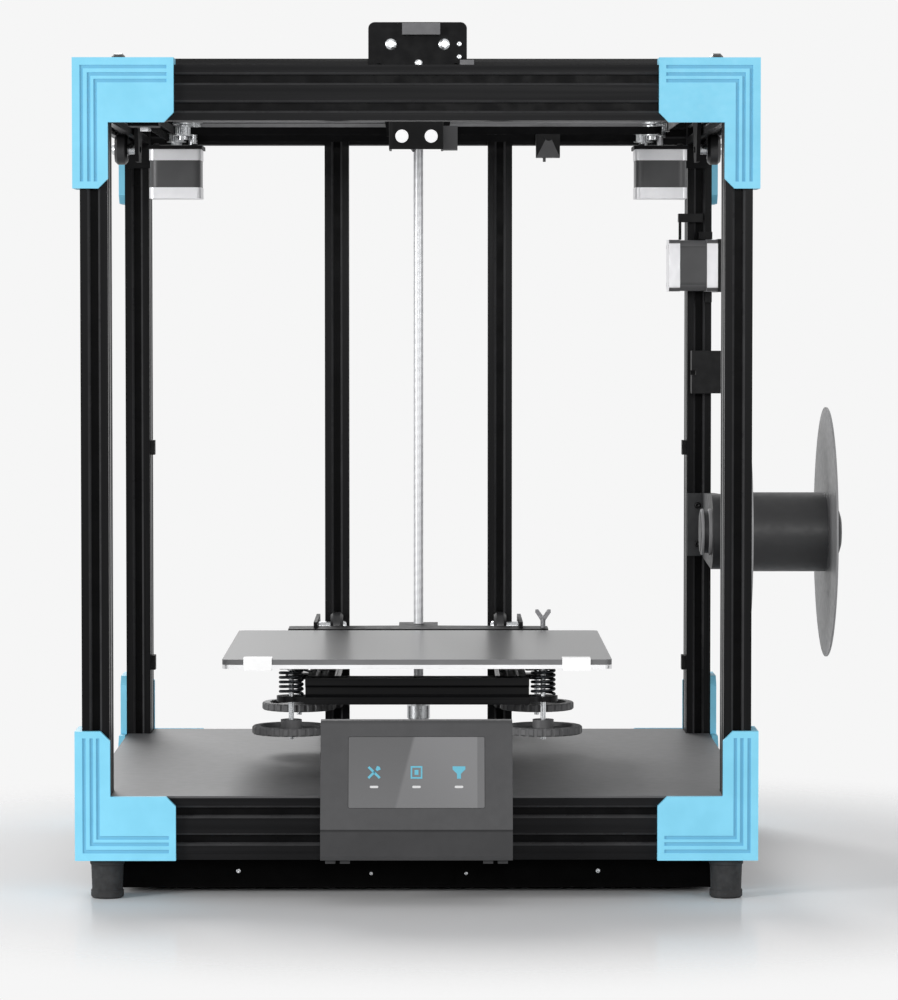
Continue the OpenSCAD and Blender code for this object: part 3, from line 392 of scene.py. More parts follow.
SCREW_TREE = node_tree(
    "screw_heads",
    {"Points": "Geometry", "Head": "Object", "Size": "Float", "Finish": "Material"},
    "Screws",
    {
        "in": ("NodeGroupInput", {}),
        "head": ("GeometryNodeObjectInfo", {}),
        "way": ("GeometryNodeInputNamedAttribute", {"data_type": "FLOAT_VECTOR"}),
        "turn": ("FunctionNodeAlignRotationToVector", {"axis": "Z"}),
        "set": ("GeometryNodeInstanceOnPoints", {}),
        "real": ("GeometryNodeRealizeInstances", {}),
        "coat": ("GeometryNodeSetMaterial", {}),
        "end": ("NodeGroupOutput", {}),
    },
    [
        ("in.Head", "head.Object"), ("way.Attribute", "turn.Vector"), ("in.Points", "set.Points"),
        ("head.Geometry", "set.Instance"), ("turn.Rotation", "set.Rotation"), ("in.Size", "set.Scale"),
        ("set.Instances", "real.Geometry"), ("real.Geometry", "coat.Geometry"),
        ("in.Finish", "coat.Material"), ("coat.Geometry", "end.Screws"),
    ],
)
SCREW_TREE.nodes["way"].inputs["Name"].default_value = "outward"
HEAD_HEIGHT = 0.58  # of the head's radius
HEADS = bpy.data.objects.new("head_pattern", button_head(1.0, HEAD_HEIGHT))
bpy.context.scene.collection.objects.link(HEADS)


def screws(name, body, radius, finish, places):
    """One piece with a screw head at each (point, outward direction)."""
    points = bpy.data.meshes.new(name)
    points.from_pydata([tuple(point) for point, _ in places], [], [])
    outward = points.attributes.new("outward", "FLOAT_VECTOR", "POINT")
    for number, (_, direction) in enumerate(places):
        outward.data[number].vector = direction
    mesh = baked(SCREW_TREE, points, Head=HEADS, Size=radius, Finish=finish)
    return finish_piece(name, mesh, body, finish)


def machined(name, tone, rough=(0.2, 0.34)):
    """Bright turned or drawn metal with faint tool marks."""
    return material(
        name,
        mottle(40, [t - 8 for t in tone], tone),
        sheen(260, *rough, stretch=(1, 1, 6)),
        metallic=0.9,
    )


BRIGHT_STEEL = machined("bright_steel", (214, 216, 218))
BLACK_STEEL = material(
    "blacked_steel",
    mottle(150, (20, 20, 21), (34, 34, 35)),
    sheen(220, 0.3, 0.45),
    metallic=0.6,
)
FORWARD = Vector((0, -1, 0))
tray_lip = 0.001
tray_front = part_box("electronics_tray")[0].y + tray_lip
tray_screw_z, panel_screw_z = 0.0162, 0.0142
screws("tray_front_screws", "frame", 0.0019, BRIGHT_STEEL, [
    (Vector((FRAME_MID.x + x, tray_front, tray_screw_z)), FORWARD) for x in (-0.131, 0.133)
])
screws("tray_panel_screws", "frame", 0.0014, BRIGHT_STEEL, [
    (Vector((FRAME_MID.x + x, tray_front, panel_screw_z)), FORWARD) for x in (-0.0335, 0.0362)
])

# The mains inlet and rocker at the back of the tray: black moulded plastic with bright flat pins,
# clipped into the sheet, and a red rocker that tips in its own bezel.


def moulded(name, dark, light, rough=(0.45, 0.6), grain=700, depth=0.00007, **values):
    """Moulded plastic: nearly even colour, a fine eroded grain."""
    return material(
        name,
        mottle(28, dark, light),
        sheen(180, *rough),
        bump=(lambda: noise(grain, detail=1.5), depth),
        **values,
    )


BLACK_PLASTIC = moulded("black_moulding", (13, 13, 14), (17, 17, 18), Specular_IOR_Level=0.2)
RED_PLASTIC = moulded("red_rocker", (168, 30, 26), (184, 38, 32), (0.25, 0.35), 300, 0.00002)
INLET_LOW, INLET_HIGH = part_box("power_inlet")
SOCKET_X = INLET_HIGH.x - 0.0155
SOCKET_Z = (INLET_LOW.z + INLET_HIGH.z) / 2
PINS_HALF_WIDE, PINS_HALF_HIGH = 0.0085, 0.0045
INLET_WALL = 0.004


def is_pin(middle, normal):
    inside = abs(middle.x - SOCKET_X) < PINS_HALF_WIDE and abs(middle.z - SOCKET_Z) < PINS_HALF_HIGH
    return inside and INLET_LOW.y + INLET_WALL < middle.y < INLET_HIGH.y - INLET_WALL


paint("power_inlet", BLACK_PLASTIC, (BRIGHT_STEEL, is_pin))
paint("power_switch", RED_PLASTIC)

# The display: a wedge moulded in mid-grey plastic, screwed to the front beam, with a flush glass.
# The plinth under the bend stands upright; it is coloured a darker grey than the housing as painted shade,
# with more painted shade in the crease at the bend. The glass carries a painted reflection in two greys.
# Three plain pictograms glow on the glass, each over a blank bar.

HOUSING_GREY = moulded("display_moulding", (72, 72, 73), (75, 75, 76), (0.5, 0.62), Specular_IOR_Level=0.3)
HOUSING = NODES["display_housing"].data
# The painted shade in the crease fades out between these distances under the bend.
CREASE_SHADE_FROM, CREASE_SHADE_TO = 0.0008, 0.0024


def on_plinth(middle, normal):
    """True on the front under the bend, which stands upright."""
    return normal.y < -0.97


plinth = [face for face in HOUSING.polygons if on_plinth(face.center, face.normal)]
BEND_Z = max(HOUSING.vertices[corner].co.z for face in plinth for corner in face.vertices)


def plinth_shade_tone():
    """Painted shade: an even grey darker than the housing, darker still in the crease just under the bend."""
    crease_shade = (BEND_Z - axis(place(), "Z")).ramp(CREASE_SHADE_FROM, CREASE_SHADE_TO)
    return crease_shade.mix(linear(40, 40, 41), mottle(28, (58, 58, 59), (62, 62, 63))())


PLINTH_PAINTED_SHADE = material(
    "display_plinth_painted_shade",
    plinth_shade_tone,
    sheen(180, 0.5, 0.62),
    bump=(lambda: noise(700, detail=1.5), 0.00007),
    Specular_IOR_Level=0.25,
)
DISPLAY_LEAN = math.radians(17)
SCREEN_LOW, SCREEN_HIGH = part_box("display_screen")
SCREEN_MID = (SCREEN_LOW + SCREEN_HIGH) / 2
SCREEN_UP = Vector((0, math.sin(DISPLAY_LEAN), math.cos(DISPLAY_LEAN)))
SCREEN_OUT = Vector((0, -math.cos(DISPLAY_LEAN), math.sin(DISPLAY_LEAN)))
GLASS_HALF = 0.00095
SCREEN_FACE = SCREEN_MID + SCREEN_OUT * GLASS_HALF
SLANT_LEAN, SLANT_SHIFT, SLANT_SOFT = 0.27, 0.0085, 0.0015
SCREEN_HALF_HIGH = 0.03
BORDER_FROM, BORDER_TO = 0.0432, 0.0442


def screen_painted_reflection():
    """Painted reflection: a darker grey on the left, paler towards the bottom, and a lighter grey on the
    right, paler towards the top right, parted by a slanting line; and an unlit border at the right end.
    """
    spot = place()
    across = axis(spot, "X") - SCREEN_MID.x
    rise = axis(spot, "Z") - SCREEN_MID.z
    slant = (across - rise * SLANT_LEAN + SLANT_SHIFT).ramp(-SLANT_SOFT, SLANT_SOFT)
    fade = (rise * -1.0).ramp(-SCREEN_HALF_HIGH, SCREEN_HALF_HIGH)
    dark = fade.mix(linear(91, 91, 92), linear(100, 100, 101))
    corner = (across + rise).ramp(-SCREEN_HALF_HIGH, 2 * SCREEN_HALF_HIGH)
    light = corner.mix(linear(114, 114, 115), linear(126, 126, 127))
    border = across.ramp(BORDER_FROM, BORDER_TO)
    return border.mix(slant.mix(dark, light), linear(106, 106, 107))


# The glass's colour is a painted reflection.
GLASS_PAINTED_REFLECTION = material("screen_glass", screen_painted_reflection, 0.16, Coat_Weight=0.3, Coat_Roughness=0.04)
paint("display_housing", HOUSING_GREY, (PLINTH_PAINTED_SHADE, on_plinth))
paint("display_screen", GLASS_PAINTED_REFLECTION)


def lit(name, colour, glow=0.12):
    """A thing that shines a little with its own light."""
    return material(name, colour, 0.4, Emission_Color=colour, Emission_Strength=glow)


ICON_BLUE = lit("pictogram_blue", linear(96, 178, 200), 0.06)
LABEL_WHITE = lit("label_white", linear(206, 206, 206))


def raised(outlines, thick=0.00012):
    """Thin raised figures on the glass, from outlines in metres across and up from the screen's middle."""
    shape = bmesh.new()
    for outline in outlines:
        low = [shape.verts.new(SCREEN_FACE + Vector((x, 0, 0)) + SCREEN_UP * y) for x, y in outline]
        top = [shape.verts.new(v.co + SCREEN_OUT * thick) for v in low]
        shape.faces.new(top)
        shape.faces.new(list(reversed(low)))
        for k in range(len(low)):
            n = (k + 1) % len(low)
            shape.faces.new((low[k], low[n], top[n], top[k]))
    return mesh_of(shape)


def rounded_bar(x, y, width, height, steps=6):
    """Outline of a bar with round ends."""
    r = height / 2
    ends = []
    for side, start in ((1, -90), (-1, 90)):
        for k in range(steps + 1):
            a = math.radians(start + 180 * k / steps)
            ends.append((x + side * (width / 2 - r) + r * math.cos(a), y + r * math.sin(a)))
    return ends


ICON_STEP = 0.0305
tools = [
    [(-0.0046, 0.0034), (-0.0034, 0.0046), (0.0047, -0.0035), (0.0035, -0.0047)],
    [(-0.0047, -0.0035), (-0.0035, -0.0047), (0.0012, 0.0000), (0.0000, 0.0012)],
    [(0.0010, 0.0022), (0.0022, 0.0010), (0.0048, 0.0022), (0.0040, 0.0040), (0.0022, 0.0048)],
]
sheet_frame = [
    [(-0.0042, -0.0046), (0.0042, -0.0046), (0.0042, -0.0034), (-0.0042, -0.0034)],
    [(-0.0042, 0.0034), (0.0042, 0.0034), (0.0042, 0.0046), (-0.0042, 0.0046)],
    [(-0.0042, -0.0034), (-0.0031, -0.0034), (-0.0031, 0.0034), (-0.0042, 0.0034)],
    [(0.0031, -0.0034), (0.0042, -0.0034), (0.0042, 0.0034), (0.0031, 0.0034)],
    [(-0.0014, -0.0018), (0.0014, -0.0018), (0.0014, 0.0018), (-0.0014, 0.0018)],
]
funnel = [(-0.0046, 0.0044), (-0.0046, 0.0022), (-0.0014, -0.0010), (-0.0014, -0.0046),
          (0.0014, -0.0046), (0.0014, -0.0010), (0.0046, 0.0022), (0.0046, 0.0044)]
figures = [[(x - ICON_STEP, y) for x, y in part] for part in tools]
figures += sheet_frame
figures += [[(x + ICON_STEP, y) for x, y in funnel]]
finish_piece("screen_pictograms", raised(figures), "frame", ICON_BLUE, smooth=False)
bar_y, bar_width, bar_height = -0.0106, 0.0062, 0.0017
bars = [rounded_bar(x, bar_y, bar_width, bar_height) for x in (-ICON_STEP, 0, ICON_STEP)]
finish_piece("screen_bars", raised(bars), "frame", LABEL_WHITE, smooth=False)

# The stepper motors: pale cast aluminium end caps on a dark grey stack of steel laminations. Two
# drive the belts from under their mounts, one turns the bed's screw and one the feeder's gear.

LAMINATIONS = material(
    "steel_laminations",
    mottle(30, (66, 66, 67), (74, 74, 75)),
    0.42,
    metallic=0.2,
    bump=(lambda: noise(200, (1, 1, 30)), 0.0001),
)
CAST_ALUMINIUM = material(
    "cast_caps",
    mottle(40, (228, 228, 230), (238, 238, 240)),
    sheen(260, 0.30, 0.42),
    metallic=0.3,
)
DECK_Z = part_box("base_plate")[0].z
MOUNT_SKIRT = 0.014
MOUNT_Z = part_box("motor_mounts")[0].z + MOUNT_SKIRT
SHAFT = 0.020
FEED_MOTOR_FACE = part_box("stepper_motors")[1].x - SHAFT
CAP = 0.009
MOTOR_LENGTH = 0.040


def in_stack(middle, normal):
    """True on the side faces between a motor's two caps: belt motors, bed motor, then feeder motor."""
    if middle.z > MOUNT_Z - 1.5 * MOTOR_LENGTH:
        depth, facing = MOUNT_Z - middle.z, normal.z
    elif middle.z < DECK_Z + 1.5 * SHAFT:
        depth, facing = DECK_Z - middle.z, normal.z
    else:
        depth, facing = FEED_MOTOR_FACE - middle.x, normal.x
    return CAP - 2 * HAIR < depth < MOTOR_LENGTH - CAP + 2 * HAIR and abs(facing) < 0.5


# Painted shade: the bevelled long edges are coloured dark grey, standing in for the shade on the rounded
# edges.
CHAMFER_PAINTED_SHADE = moulded("cap_chamfer_painted_shade", (88, 88, 89), (96, 96, 97))


def on_chamfer(middle, normal):
    """True on the bevelled long edges of the motor that lies across the post, which are coloured dark grey as
    painted shade.
    """
    return abs(normal.z) > 0.3 and abs(normal.y) > 0.3


paint("stepper_motors", CAST_ALUMINIUM, (LAMINATIONS, in_stack), (CHAMFER_PAINTED_SHADE, on_chamfer))

# Motor mounts and idler forks: folded black steel, with the idlers' bright studs, and the bearing
# block that steadies the top of the bed's screw. Four black screws hold each belt motor.

REAR_STUD, FRONT_STUD = 0.0038, 0.0046
JOINTS = {joint["name"]: joint for joint in frame["joints"]}


def near_axis(names, reach):
    """Test for faces within reach of any of these joints' axes."""
    lines = [(Vector(JOINTS[name]["pos_m"]), Vector(JOINTS[name]["axis"])) for name in names]

    def test(middle, normal):
        for point, direction in lines:
            offset = middle - point
            if (offset - direction * offset.dot(direction)).length < reach:
                return True
        return False

    return test


for node, end, stud in (("motor_mounts", "rear", REAR_STUD), ("idler_brackets", "front", FRONT_STUD)):
    on_stud = near_axis([f"{end}_idler_left_spin", f"{end}_idler_right_spin"], stud)
    paint(node, BLACK_POWDER, (BRIGHT_STEEL, on_stud))
MOTOR_HOLES = (-0.0155, 0.0155)
SHEET = 0.003
mount_places = []
for side in ("left", "right"):
    shaft = Vector(JOINTS[f"motor_pulley_{side}_spin"]["pos_m"])
    for x in MOTOR_HOLES:
        for y in MOTOR_HOLES:
            place_on_mount = Vector((shaft.x + x, shaft.y + y, MOUNT_Z + SHEET))
            mount_places.append((place_on_mount, Vector((0, 0, 1))))
screws("mount_screws", "frame", 0.0027, BLACK_STEEL, mount_places)
BARE_ALUMINIUM = machined("turned_aluminium", (200, 202, 204), (0.26, 0.4))
PULLEYS = [name for name in NODES if name.startswith("motor_pulley") or "_idler_" in name]
for pulley in PULLEYS:
    paint(pulley, BARE_ALUMINIUM)

# The two toothed belts, 6 mm wide with a 2 mm pitch: black rubber in the lower plane, grey in the upper. They
# lie still along the frame, and their runs at the sides and along the cross beam are laid as straight pieces
# between frame, gantry and carriage.

BELT_RUBBER = material(
    "belt_rubber",
    mottle(120, (10, 10, 11), (15, 15, 16)),
    sheen(240, 0.55, 0.7),
    bump=(lambda: noise(600), 0.00005),
    Specular_IOR_Level=0.06,
)
BELT_GREY = material("belt_grey", mottle(140, (142, 142, 143), (150, 150, 151)), sheen(240, 0.45, 0.6))
BELT_WIDTH = 0.006
BELT_IN, BELT_OUT = 0.0063, 0.0072
TOOTH = 0.00045
TOOTH_PITCH = 0.002
BEND_STEPS, SIDE_STEPS, RUN_STEPS = 8, 60, 80
TEETH_TREE = node_tree(
    "belt_teeth",
    {"Line": "Geometry", "Pitch": "Float", "Tooth": "Vector", "Finish": "Material"},
    "Teeth",
    {
        "in": ("NodeGroupInput", {}),
        "curve": ("GeometryNodeMeshToCurve", {}),
        "step": ("GeometryNodeResampleCurve", {"mode": "LENGTH"}),
        "along": ("GeometryNodeInputTangent", {}),
        "turn": ("FunctionNodeAlignRotationToVector", {"axis": "X", "pivot_axis": "Z"}),
        "block": ("GeometryNodeMeshCube", {}),
        "set": ("GeometryNodeInstanceOnPoints", {}),
        "real": ("GeometryNodeRealizeInstances", {}),
        "coat": ("GeometryNodeSetMaterial", {}),
        "end": ("NodeGroupOutput", {}),
    },
    [
        ("in.Line", "curve.Mesh"), ("curve.Curve", "step.Curve"), ("in.Pitch", "step.Length"),
        ("along.Tangent", "turn.Vector"), ("in.Tooth", "block.Size"), ("step.Curve", "set.Points"),
        ("block.Mesh", "set.Instance"), ("turn.Rotation", "set.Rotation"),
        ("set.Instances", "real.Geometry"), ("real.Geometry", "coat.Geometry"),
        ("in.Finish", "coat.Material"), ("coat.Geometry", "end.Teeth"),
    ],
)


def offset_line(line, distance):
    """The line moved to its left by a distance, corner by corner."""
    moved = []
    for k, point in enumerate(line):
        ahead = line[min(k + 1, len(line) - 1)] - line[max(k - 1, 0)]
        left = Vector((-ahead.y, ahead.x)).normalized()
        moved.append(point + left * distance)
    return moved


def belt_mesh(line, low, finish):
    """Belt along a plan line that is its toothed face; the back lies to the left of the line."""
    shape = bmesh.new()
    inner, outer = offset_line(line, TOOTH), offset_line(line, BELT_OUT - BELT_IN)
    rows = []
    for a, b in zip(inner, outer):
        corners = ((a, low), (b, low), (b, low + BELT_WIDTH), (a, low + BELT_WIDTH))
        rows.append([shape.verts.new((p.x, p.y, z)) for p, z in corners])
    for here, there in zip(rows, rows[1:]):
        for k in range(4):
            shape.faces.new((here[k], here[(k + 1) % 4], there[(k + 1) % 4], there[k]))
    shape.faces.new(rows[0])
    shape.faces.new(list(reversed(rows[-1])))
    points = offset_line(line, TOOTH / 2)
    path = bpy.data.meshes.new("path")
    steps = [(k, k + 1) for k in range(len(points) - 1)]
    path.from_pydata([(p.x, p.y, low + BELT_WIDTH / 2) for p in points], steps, [])
    tooth = (TOOTH_PITCH / 2, TOOTH * 1.05, BELT_WIDTH)
    teeth = baked(TEETH_TREE, path, Pitch=TOOTH_PITCH, Tooth=tooth, Finish=finish)
    bmesh.ops.recalc_face_normals(shape, faces=shape.faces)
    shape.from_mesh(teeth)
    mesh = bpy.data.meshes.new("belt")
    shape.to_mesh(mesh)
    shape.free()
    return mesh


def arc(centre, radius, start, end, steps=BEND_STEPS):
    """Points on a circle in plan, from one angle to another in degrees."""
    turns = [math.radians(start + (end - start) * k / steps) for k in range(steps + 1)]
    return [centre + Vector((radius * math.cos(a), radius * math.sin(a))) for a in turns]


def straight(start, end, steps):
    """Evenly spaced points from one end to the other."""
    return [start.lerp(end, k / steps) for k in range(steps + 1)]


def hub(name):
    """A pulley's or idler's centre in plan."""
    return Vector(JOINTS[name + "_spin"]["pos_m"][:2])


PLANE_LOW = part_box("frame_belts")[0].z
PLANE_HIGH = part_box("frame_belts")[1].z - BELT_WIDTH
CLAMP_HALF = 0.0223
RUN_CLEARANCE = 0.0003


def joined(*lines):
    """One line from several, without the doubled points where they meet."""
    whole = list(lines[0])
    for line in lines[1:]:
        whole += [p for p in line if (p - whole[-1]).length > 1e-5]
    return whole


def lay_belt(drive, other, flip, low, finish):
    """All stretches of the belt that the motor on one side drives; flip is 1 on the right, -1 on the left."""
    reflect = (lambda a: a) if flip > 0 else (lambda a: 180 - a)
    plane = "high" if low == PLANE_HIGH else "low"
    front, motor = hub(f"front_idler_{drive}"), hub(f"motor_pulley_{drive}")
    rear = hub(f"rear_idler_{other}")
    near, far = hub(f"gantry_idler_{drive}_{plane}"), hub(f"gantry_idler_{other}_{plane}")
    across, back = Vector((flip, 0)), Vector((0, 1))
    inner_x, outer_x = front.x - flip * BELT_IN, far.x - flip * BELT_IN
    clear = back * RUN_CLEARANCE

    def lay(name, line):
        mesh = belt_mesh(line if flip > 0 else line[::-1], low, finish)
        mesh.materials.append(finish)
        piece = bpy.data.objects.new(f"belt_{drive}_{name}", mesh)
        bpy.context.scene.collection.objects.link(piece)
        return piece

    def stretch(name, start, end, held, moving, node):
        """A straight stretch from one point to another, baked in place in the shared frame."""
        line = straight(start, end, RUN_STEPS)
        ends = [Vector((p.x, p.y, low)) for p in (start, end)]
        if held[1]:
            ends.reverse()
        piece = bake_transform(lay(name, line))
        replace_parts(piece, node)

    loop = joined(
        arc(front, BELT_IN, reflect(180), reflect(360), 2 * BEND_STEPS),
        straight(front + across * BELT_IN, motor + across * BELT_IN, SIDE_STEPS),
        arc(motor, BELT_IN, reflect(0), reflect(90)),
        straight(motor + back * BELT_IN, rear + back * BELT_IN, SIDE_STEPS),
        arc(rear, BELT_IN, reflect(90), reflect(180)),
    )
    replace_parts(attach(lay("fixed", loop[::-1]), "frame"), "frame_belts")
    stretch("front_run", Vector((inner_x, front.y)) + clear, Vector((inner_x, near.y)) - clear,
            ("frame", False), "gantry", "side_belt_runs")
    stretch("rear_run", Vector((outer_x, far.y)) + clear, Vector((outer_x, rear.y)) - clear,
            ("frame", True), "gantry", "side_belt_runs")
    bend = arc(near, BELT_OUT, reflect(0), reflect(90))
    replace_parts(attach(lay("near_bend", bend), "gantry"), "cross_belt_runs")
    bend = arc(far, BELT_IN, reflect(270), reflect(180))
    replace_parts(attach(lay("far_bend", bend), "gantry"), "cross_belt_runs")
    clamp = FRAME_MID.x + flip * CLAMP_HALF, FRAME_MID.x - flip * CLAMP_HALF
    stretch("near_run", near + back * BELT_OUT, Vector((clamp[0], near.y + BELT_OUT)),
            ("gantry", False), "carriage", "cross_belt_runs")
    stretch("far_run", Vector((clamp[1], far.y - BELT_IN)), far - back * BELT_IN,
            ("gantry", True), "carriage", "cross_belt_runs")


lay_belt("right", "left", 1, PLANE_HIGH, BELT_GREY)
lay_belt("left", "right", -1, PLANE_LOW, BELT_RUBBER)

# The gantry: a cross beam between two black end plates, which roll on the top beams.
# Every V-wheel is black acetal on two ball bearings, and turns on a bright bolt with a spacer.

WHEEL_ACETAL = moulded("wheel_acetal", (34, 34, 35), (44, 44, 45), (0.32, 0.42), 260, 0.00003)
WHEEL_AXES = [name for name in JOINTS if "wheel" in name]
BEARING_RADIUS, BOLT_RADIUS, IDLER_STUD = 0.0073, 0.0050, 0.0047
for joint_name in WHEEL_AXES:
    in_bearing = near_axis([joint_name], BEARING_RADIUS)
    paint(joint_name.removesuffix("_spin"), WHEEL_ACETAL, (BRIGHT_STEEL, in_bearing))
gantry_bolt = near_axis([name for name in WHEEL_AXES if name.startswith("gantry")], BOLT_RADIUS)
PLATE_GAP = 0.0015
PLATE_OUTER = POST_HALF - EXTRUSION - PLATE_GAP
idler_stud = near_axis([name for name in JOINTS if name.startswith("gantry_idler")], IDLER_STUD)
beam_low, beam_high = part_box("cross_beam")
beam_mid = (beam_low + beam_high) / 2
SHELF_LOW = beam_low.z - SHEET
paint(
    "gantry_plates",
    BLACK_POWDER,
    (BRIGHT_STEEL, lambda m, n: gantry_bolt(m, n) and abs(m.x - FRAME_MID.x) > PLATE_OUTER + HAIR),
    (BRIGHT_STEEL, lambda m, n: idler_stud(m, n) and m.z < SHELF_LOW - HAIR),
)
screws("gantry_plate_screws", "gantry", 0.0036, BLACK_STEEL, [
    (Vector((FRAME_MID.x + side * PLATE_OUTER, beam_mid.y, beam_mid.z)), Vector((side, 0, 0)))
    for side in (-1, 1)
])

# The carriage: a black plate hung on the cross beam by three wheels. Bright button heads hold the
# wheels, a grey plug sits at the top and a clamp block holds the four belt ends.

GREY_PLASTIC = moulded("grey_plug", (104, 104, 106), (114, 114, 116))
PLATE_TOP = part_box("carriage_plate")[1].z
plate_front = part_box("fan_shroud")[1].y
BUTTON_RADIUS, CENTRE_RADIUS = 0.0051, 0.0032
CENTRE_X, CENTRE_DROP = 0.0008, 0.0319
SMALL_X, SMALL_DROPS = 0.0325, (0.017, 0.027)
carriage_bolt = near_axis([name for name in WHEEL_AXES if name.startswith("carriage")], BUTTON_RADIUS)


def before_plate(middle):
    return middle.y < plate_front - HAIR


def on_plug(middle, normal):
    return before_plate(middle) and not carriage_bolt(middle, normal)


def on_centre_screw(middle, normal):
    off = math.hypot(middle.x - FRAME_MID.x - CENTRE_X, middle.z - PLATE_TOP + CENTRE_DROP)
    return before_plate(middle) and off < CENTRE_RADIUS


def on_bolt(middle, normal):
    clear_of_plate = before_plate(middle) or middle.y > plate_front + SHEET + HAIR
    return carriage_bolt(middle, normal) and clear_of_plate and middle.z > PLANE_HIGH


paint(
    "carriage_plate",
    BLACK_POWDER,
    (BRIGHT_STEEL, on_bolt),
    (GREY_PLASTIC, on_plug),
    (BRIGHT_STEEL, on_centre_screw),
)
screws("carriage_small_screws", "carriage", 0.0021, BRIGHT_STEEL, [
    (Vector((FRAME_MID.x + SMALL_X, plate_front, PLATE_TOP - drop)), FORWARD) for drop in SMALL_DROPS
])

# The print head: finned aluminium cooler, heater block and steel nozzle under a black hood.
# Two small white discs sit in the hood's front with a painted glow, and a grey duct leads air to the nozzle.

PALE_PLASTIC = moulded("grey_duct", (84, 84, 85), (94, 94, 95))
# Painted glow: the two white discs are given light of their own so they stay near white in the shade of the
# front beam.
HOOD_DISC_GLOW = lit("hood_discs_painted_glow", linear(252, 252, 252), 0.55)
NOZZLE_STEEL = machined("nozzle_steel", (120, 120, 122), (0.3, 0.4))
HOOD_LOW, HOOD_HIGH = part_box("fan_shroud")
DUCT_WIDTH, DISC_DEPTH, NOZZLE_HEIGHT = 0.011, 0.00155, 0.0049
HOOD_SIDE = HOOD_HIGH.x - DUCT_WIDTH
NOZZLE_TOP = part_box("hot_end")[0].z + NOZZLE_HEIGHT
paint(
    "fan_shroud",
    BLACK_PLASTIC,
    (HOOD_DISC_GLOW, lambda m, n: m.y < HOOD_LOW.y + DISC_DEPTH),
    (PALE_PLASTIC, lambda m, n: m.x > HOOD_SIDE + HAIR / 10),
)
paint("hot_end", BARE_ALUMINIUM, (NOZZLE_STEEL, lambda m, n: m.z < NOZZLE_TOP))

# The bed: aluminium heater plate under a coated print plate, clipped at the front edge, sprung on a
# bar-and-arm frame that a wheeled carriage carries up and down.

HEATER_PLATE = machined("rolled_aluminium", (128, 129, 130), (0.35, 0.5))
PRINT_COATING = material("print_coating", mottle(9, (79, 79, 80), (82, 82, 83)), sheen(900, 0.29, 0.31))
CUT_EDGE = moulded("ground_glass_edge", (116, 116, 117), (122, 122, 123), (0.5, 0.6))
MILLED_EDGE = machined("milled_edge", (228, 228, 229), (0.3, 0.4))
CLIP_STEEL = machined("polished_clip", (238, 238, 238), (0.3, 0.4))
PRINT_LOW, PRINT_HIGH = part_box("print_plate")
HEATER_LOW = PRINT_LOW.z - SHEET


def on_edge(middle, normal):
    return abs(normal.z) < 0.5


paint(
    "bed_plate",
    HEATER_PLATE,
    (MILLED_EDGE, on_edge),
    (BRIGHT_STEEL, lambda m, n: m.z < HEATER_LOW - HAIR),
)
paint("print_plate", PRINT_COATING, (CUT_EDGE, on_edge))
paint("plate_clips", CLIP_STEEL)
BRASS = machined("turned_brass", (206, 170, 96), (0.24, 0.36))
WING_STEEL = machined("wing_steel", (128, 128, 130), (0.4, 0.5))
bed_axes = near_axis([name for name in WHEEL_AXES if name.startswith("bed")], BOLT_RADIUS)
WHEEL_GAP, MIDDLE_HALF = 0.0099, 0.05
SIDE_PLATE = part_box("bed_wheels_upper")[1].x - FRAME_MID.x + WHEEL_GAP
NUT_RADIUS = 0.0115
near_screw = near_axis(["lead_screw_spin"], NUT_RADIUS)
YOKE_DROP, YOKE_SHEET = 0.0039, 0.0034
YOKE_LOW = PRINT_HIGH.z - YOKE_DROP
YOKE_HIGH = YOKE_LOW + YOKE_SHEET
STOP_X, STOP_REACH = 0.102, 0.0068


def on_bed_bolt(middle, normal):
    return bed_axes(middle, normal) and MIDDLE_HALF < abs(middle.x - FRAME_MID.x) < SIDE_PLATE - HAIR


def on_nut(middle, normal):
    return near_screw(middle, normal) and not YOKE_LOW - HAIR / 2 < middle.z < YOKE_HIGH + HAIR / 2


def on_stop_screw(middle, normal):
    return abs(middle.x - FRAME_MID.x - STOP_X) < STOP_REACH and middle.z > YOKE_HIGH + HAIR / 2


paint(
    "bed_carriage",
    BLACK_POWDER,
    (BRIGHT_STEEL, on_bed_bolt),
    (BRASS, on_nut),
    (WING_STEEL, on_stop_screw),
)

# The four levelling springs: black wire wound in six open turns on the bed screws, between the
# bed plate and the frame bar. They are modelled again with a round, smooth wire.

SPRING_STEEL = machined("spring_wire", (58, 60, 63), (0.3, 0.42))
SPRING_LOW, SPRING_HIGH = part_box("levelling_springs")
SPRING_WIRE, SPRING_RADIUS, SPRING_TURNS = 0.0011, 0.0084, 6
FLAT_TURNS, FLAT_RISE = 0.75, 0.0030
WIRE_STEPS, WIRE_SIDES = 40, 12
knob_axes = [Vector(JOINTS[name]["pos_m"]) for name in JOINTS if name.startswith("knob")]


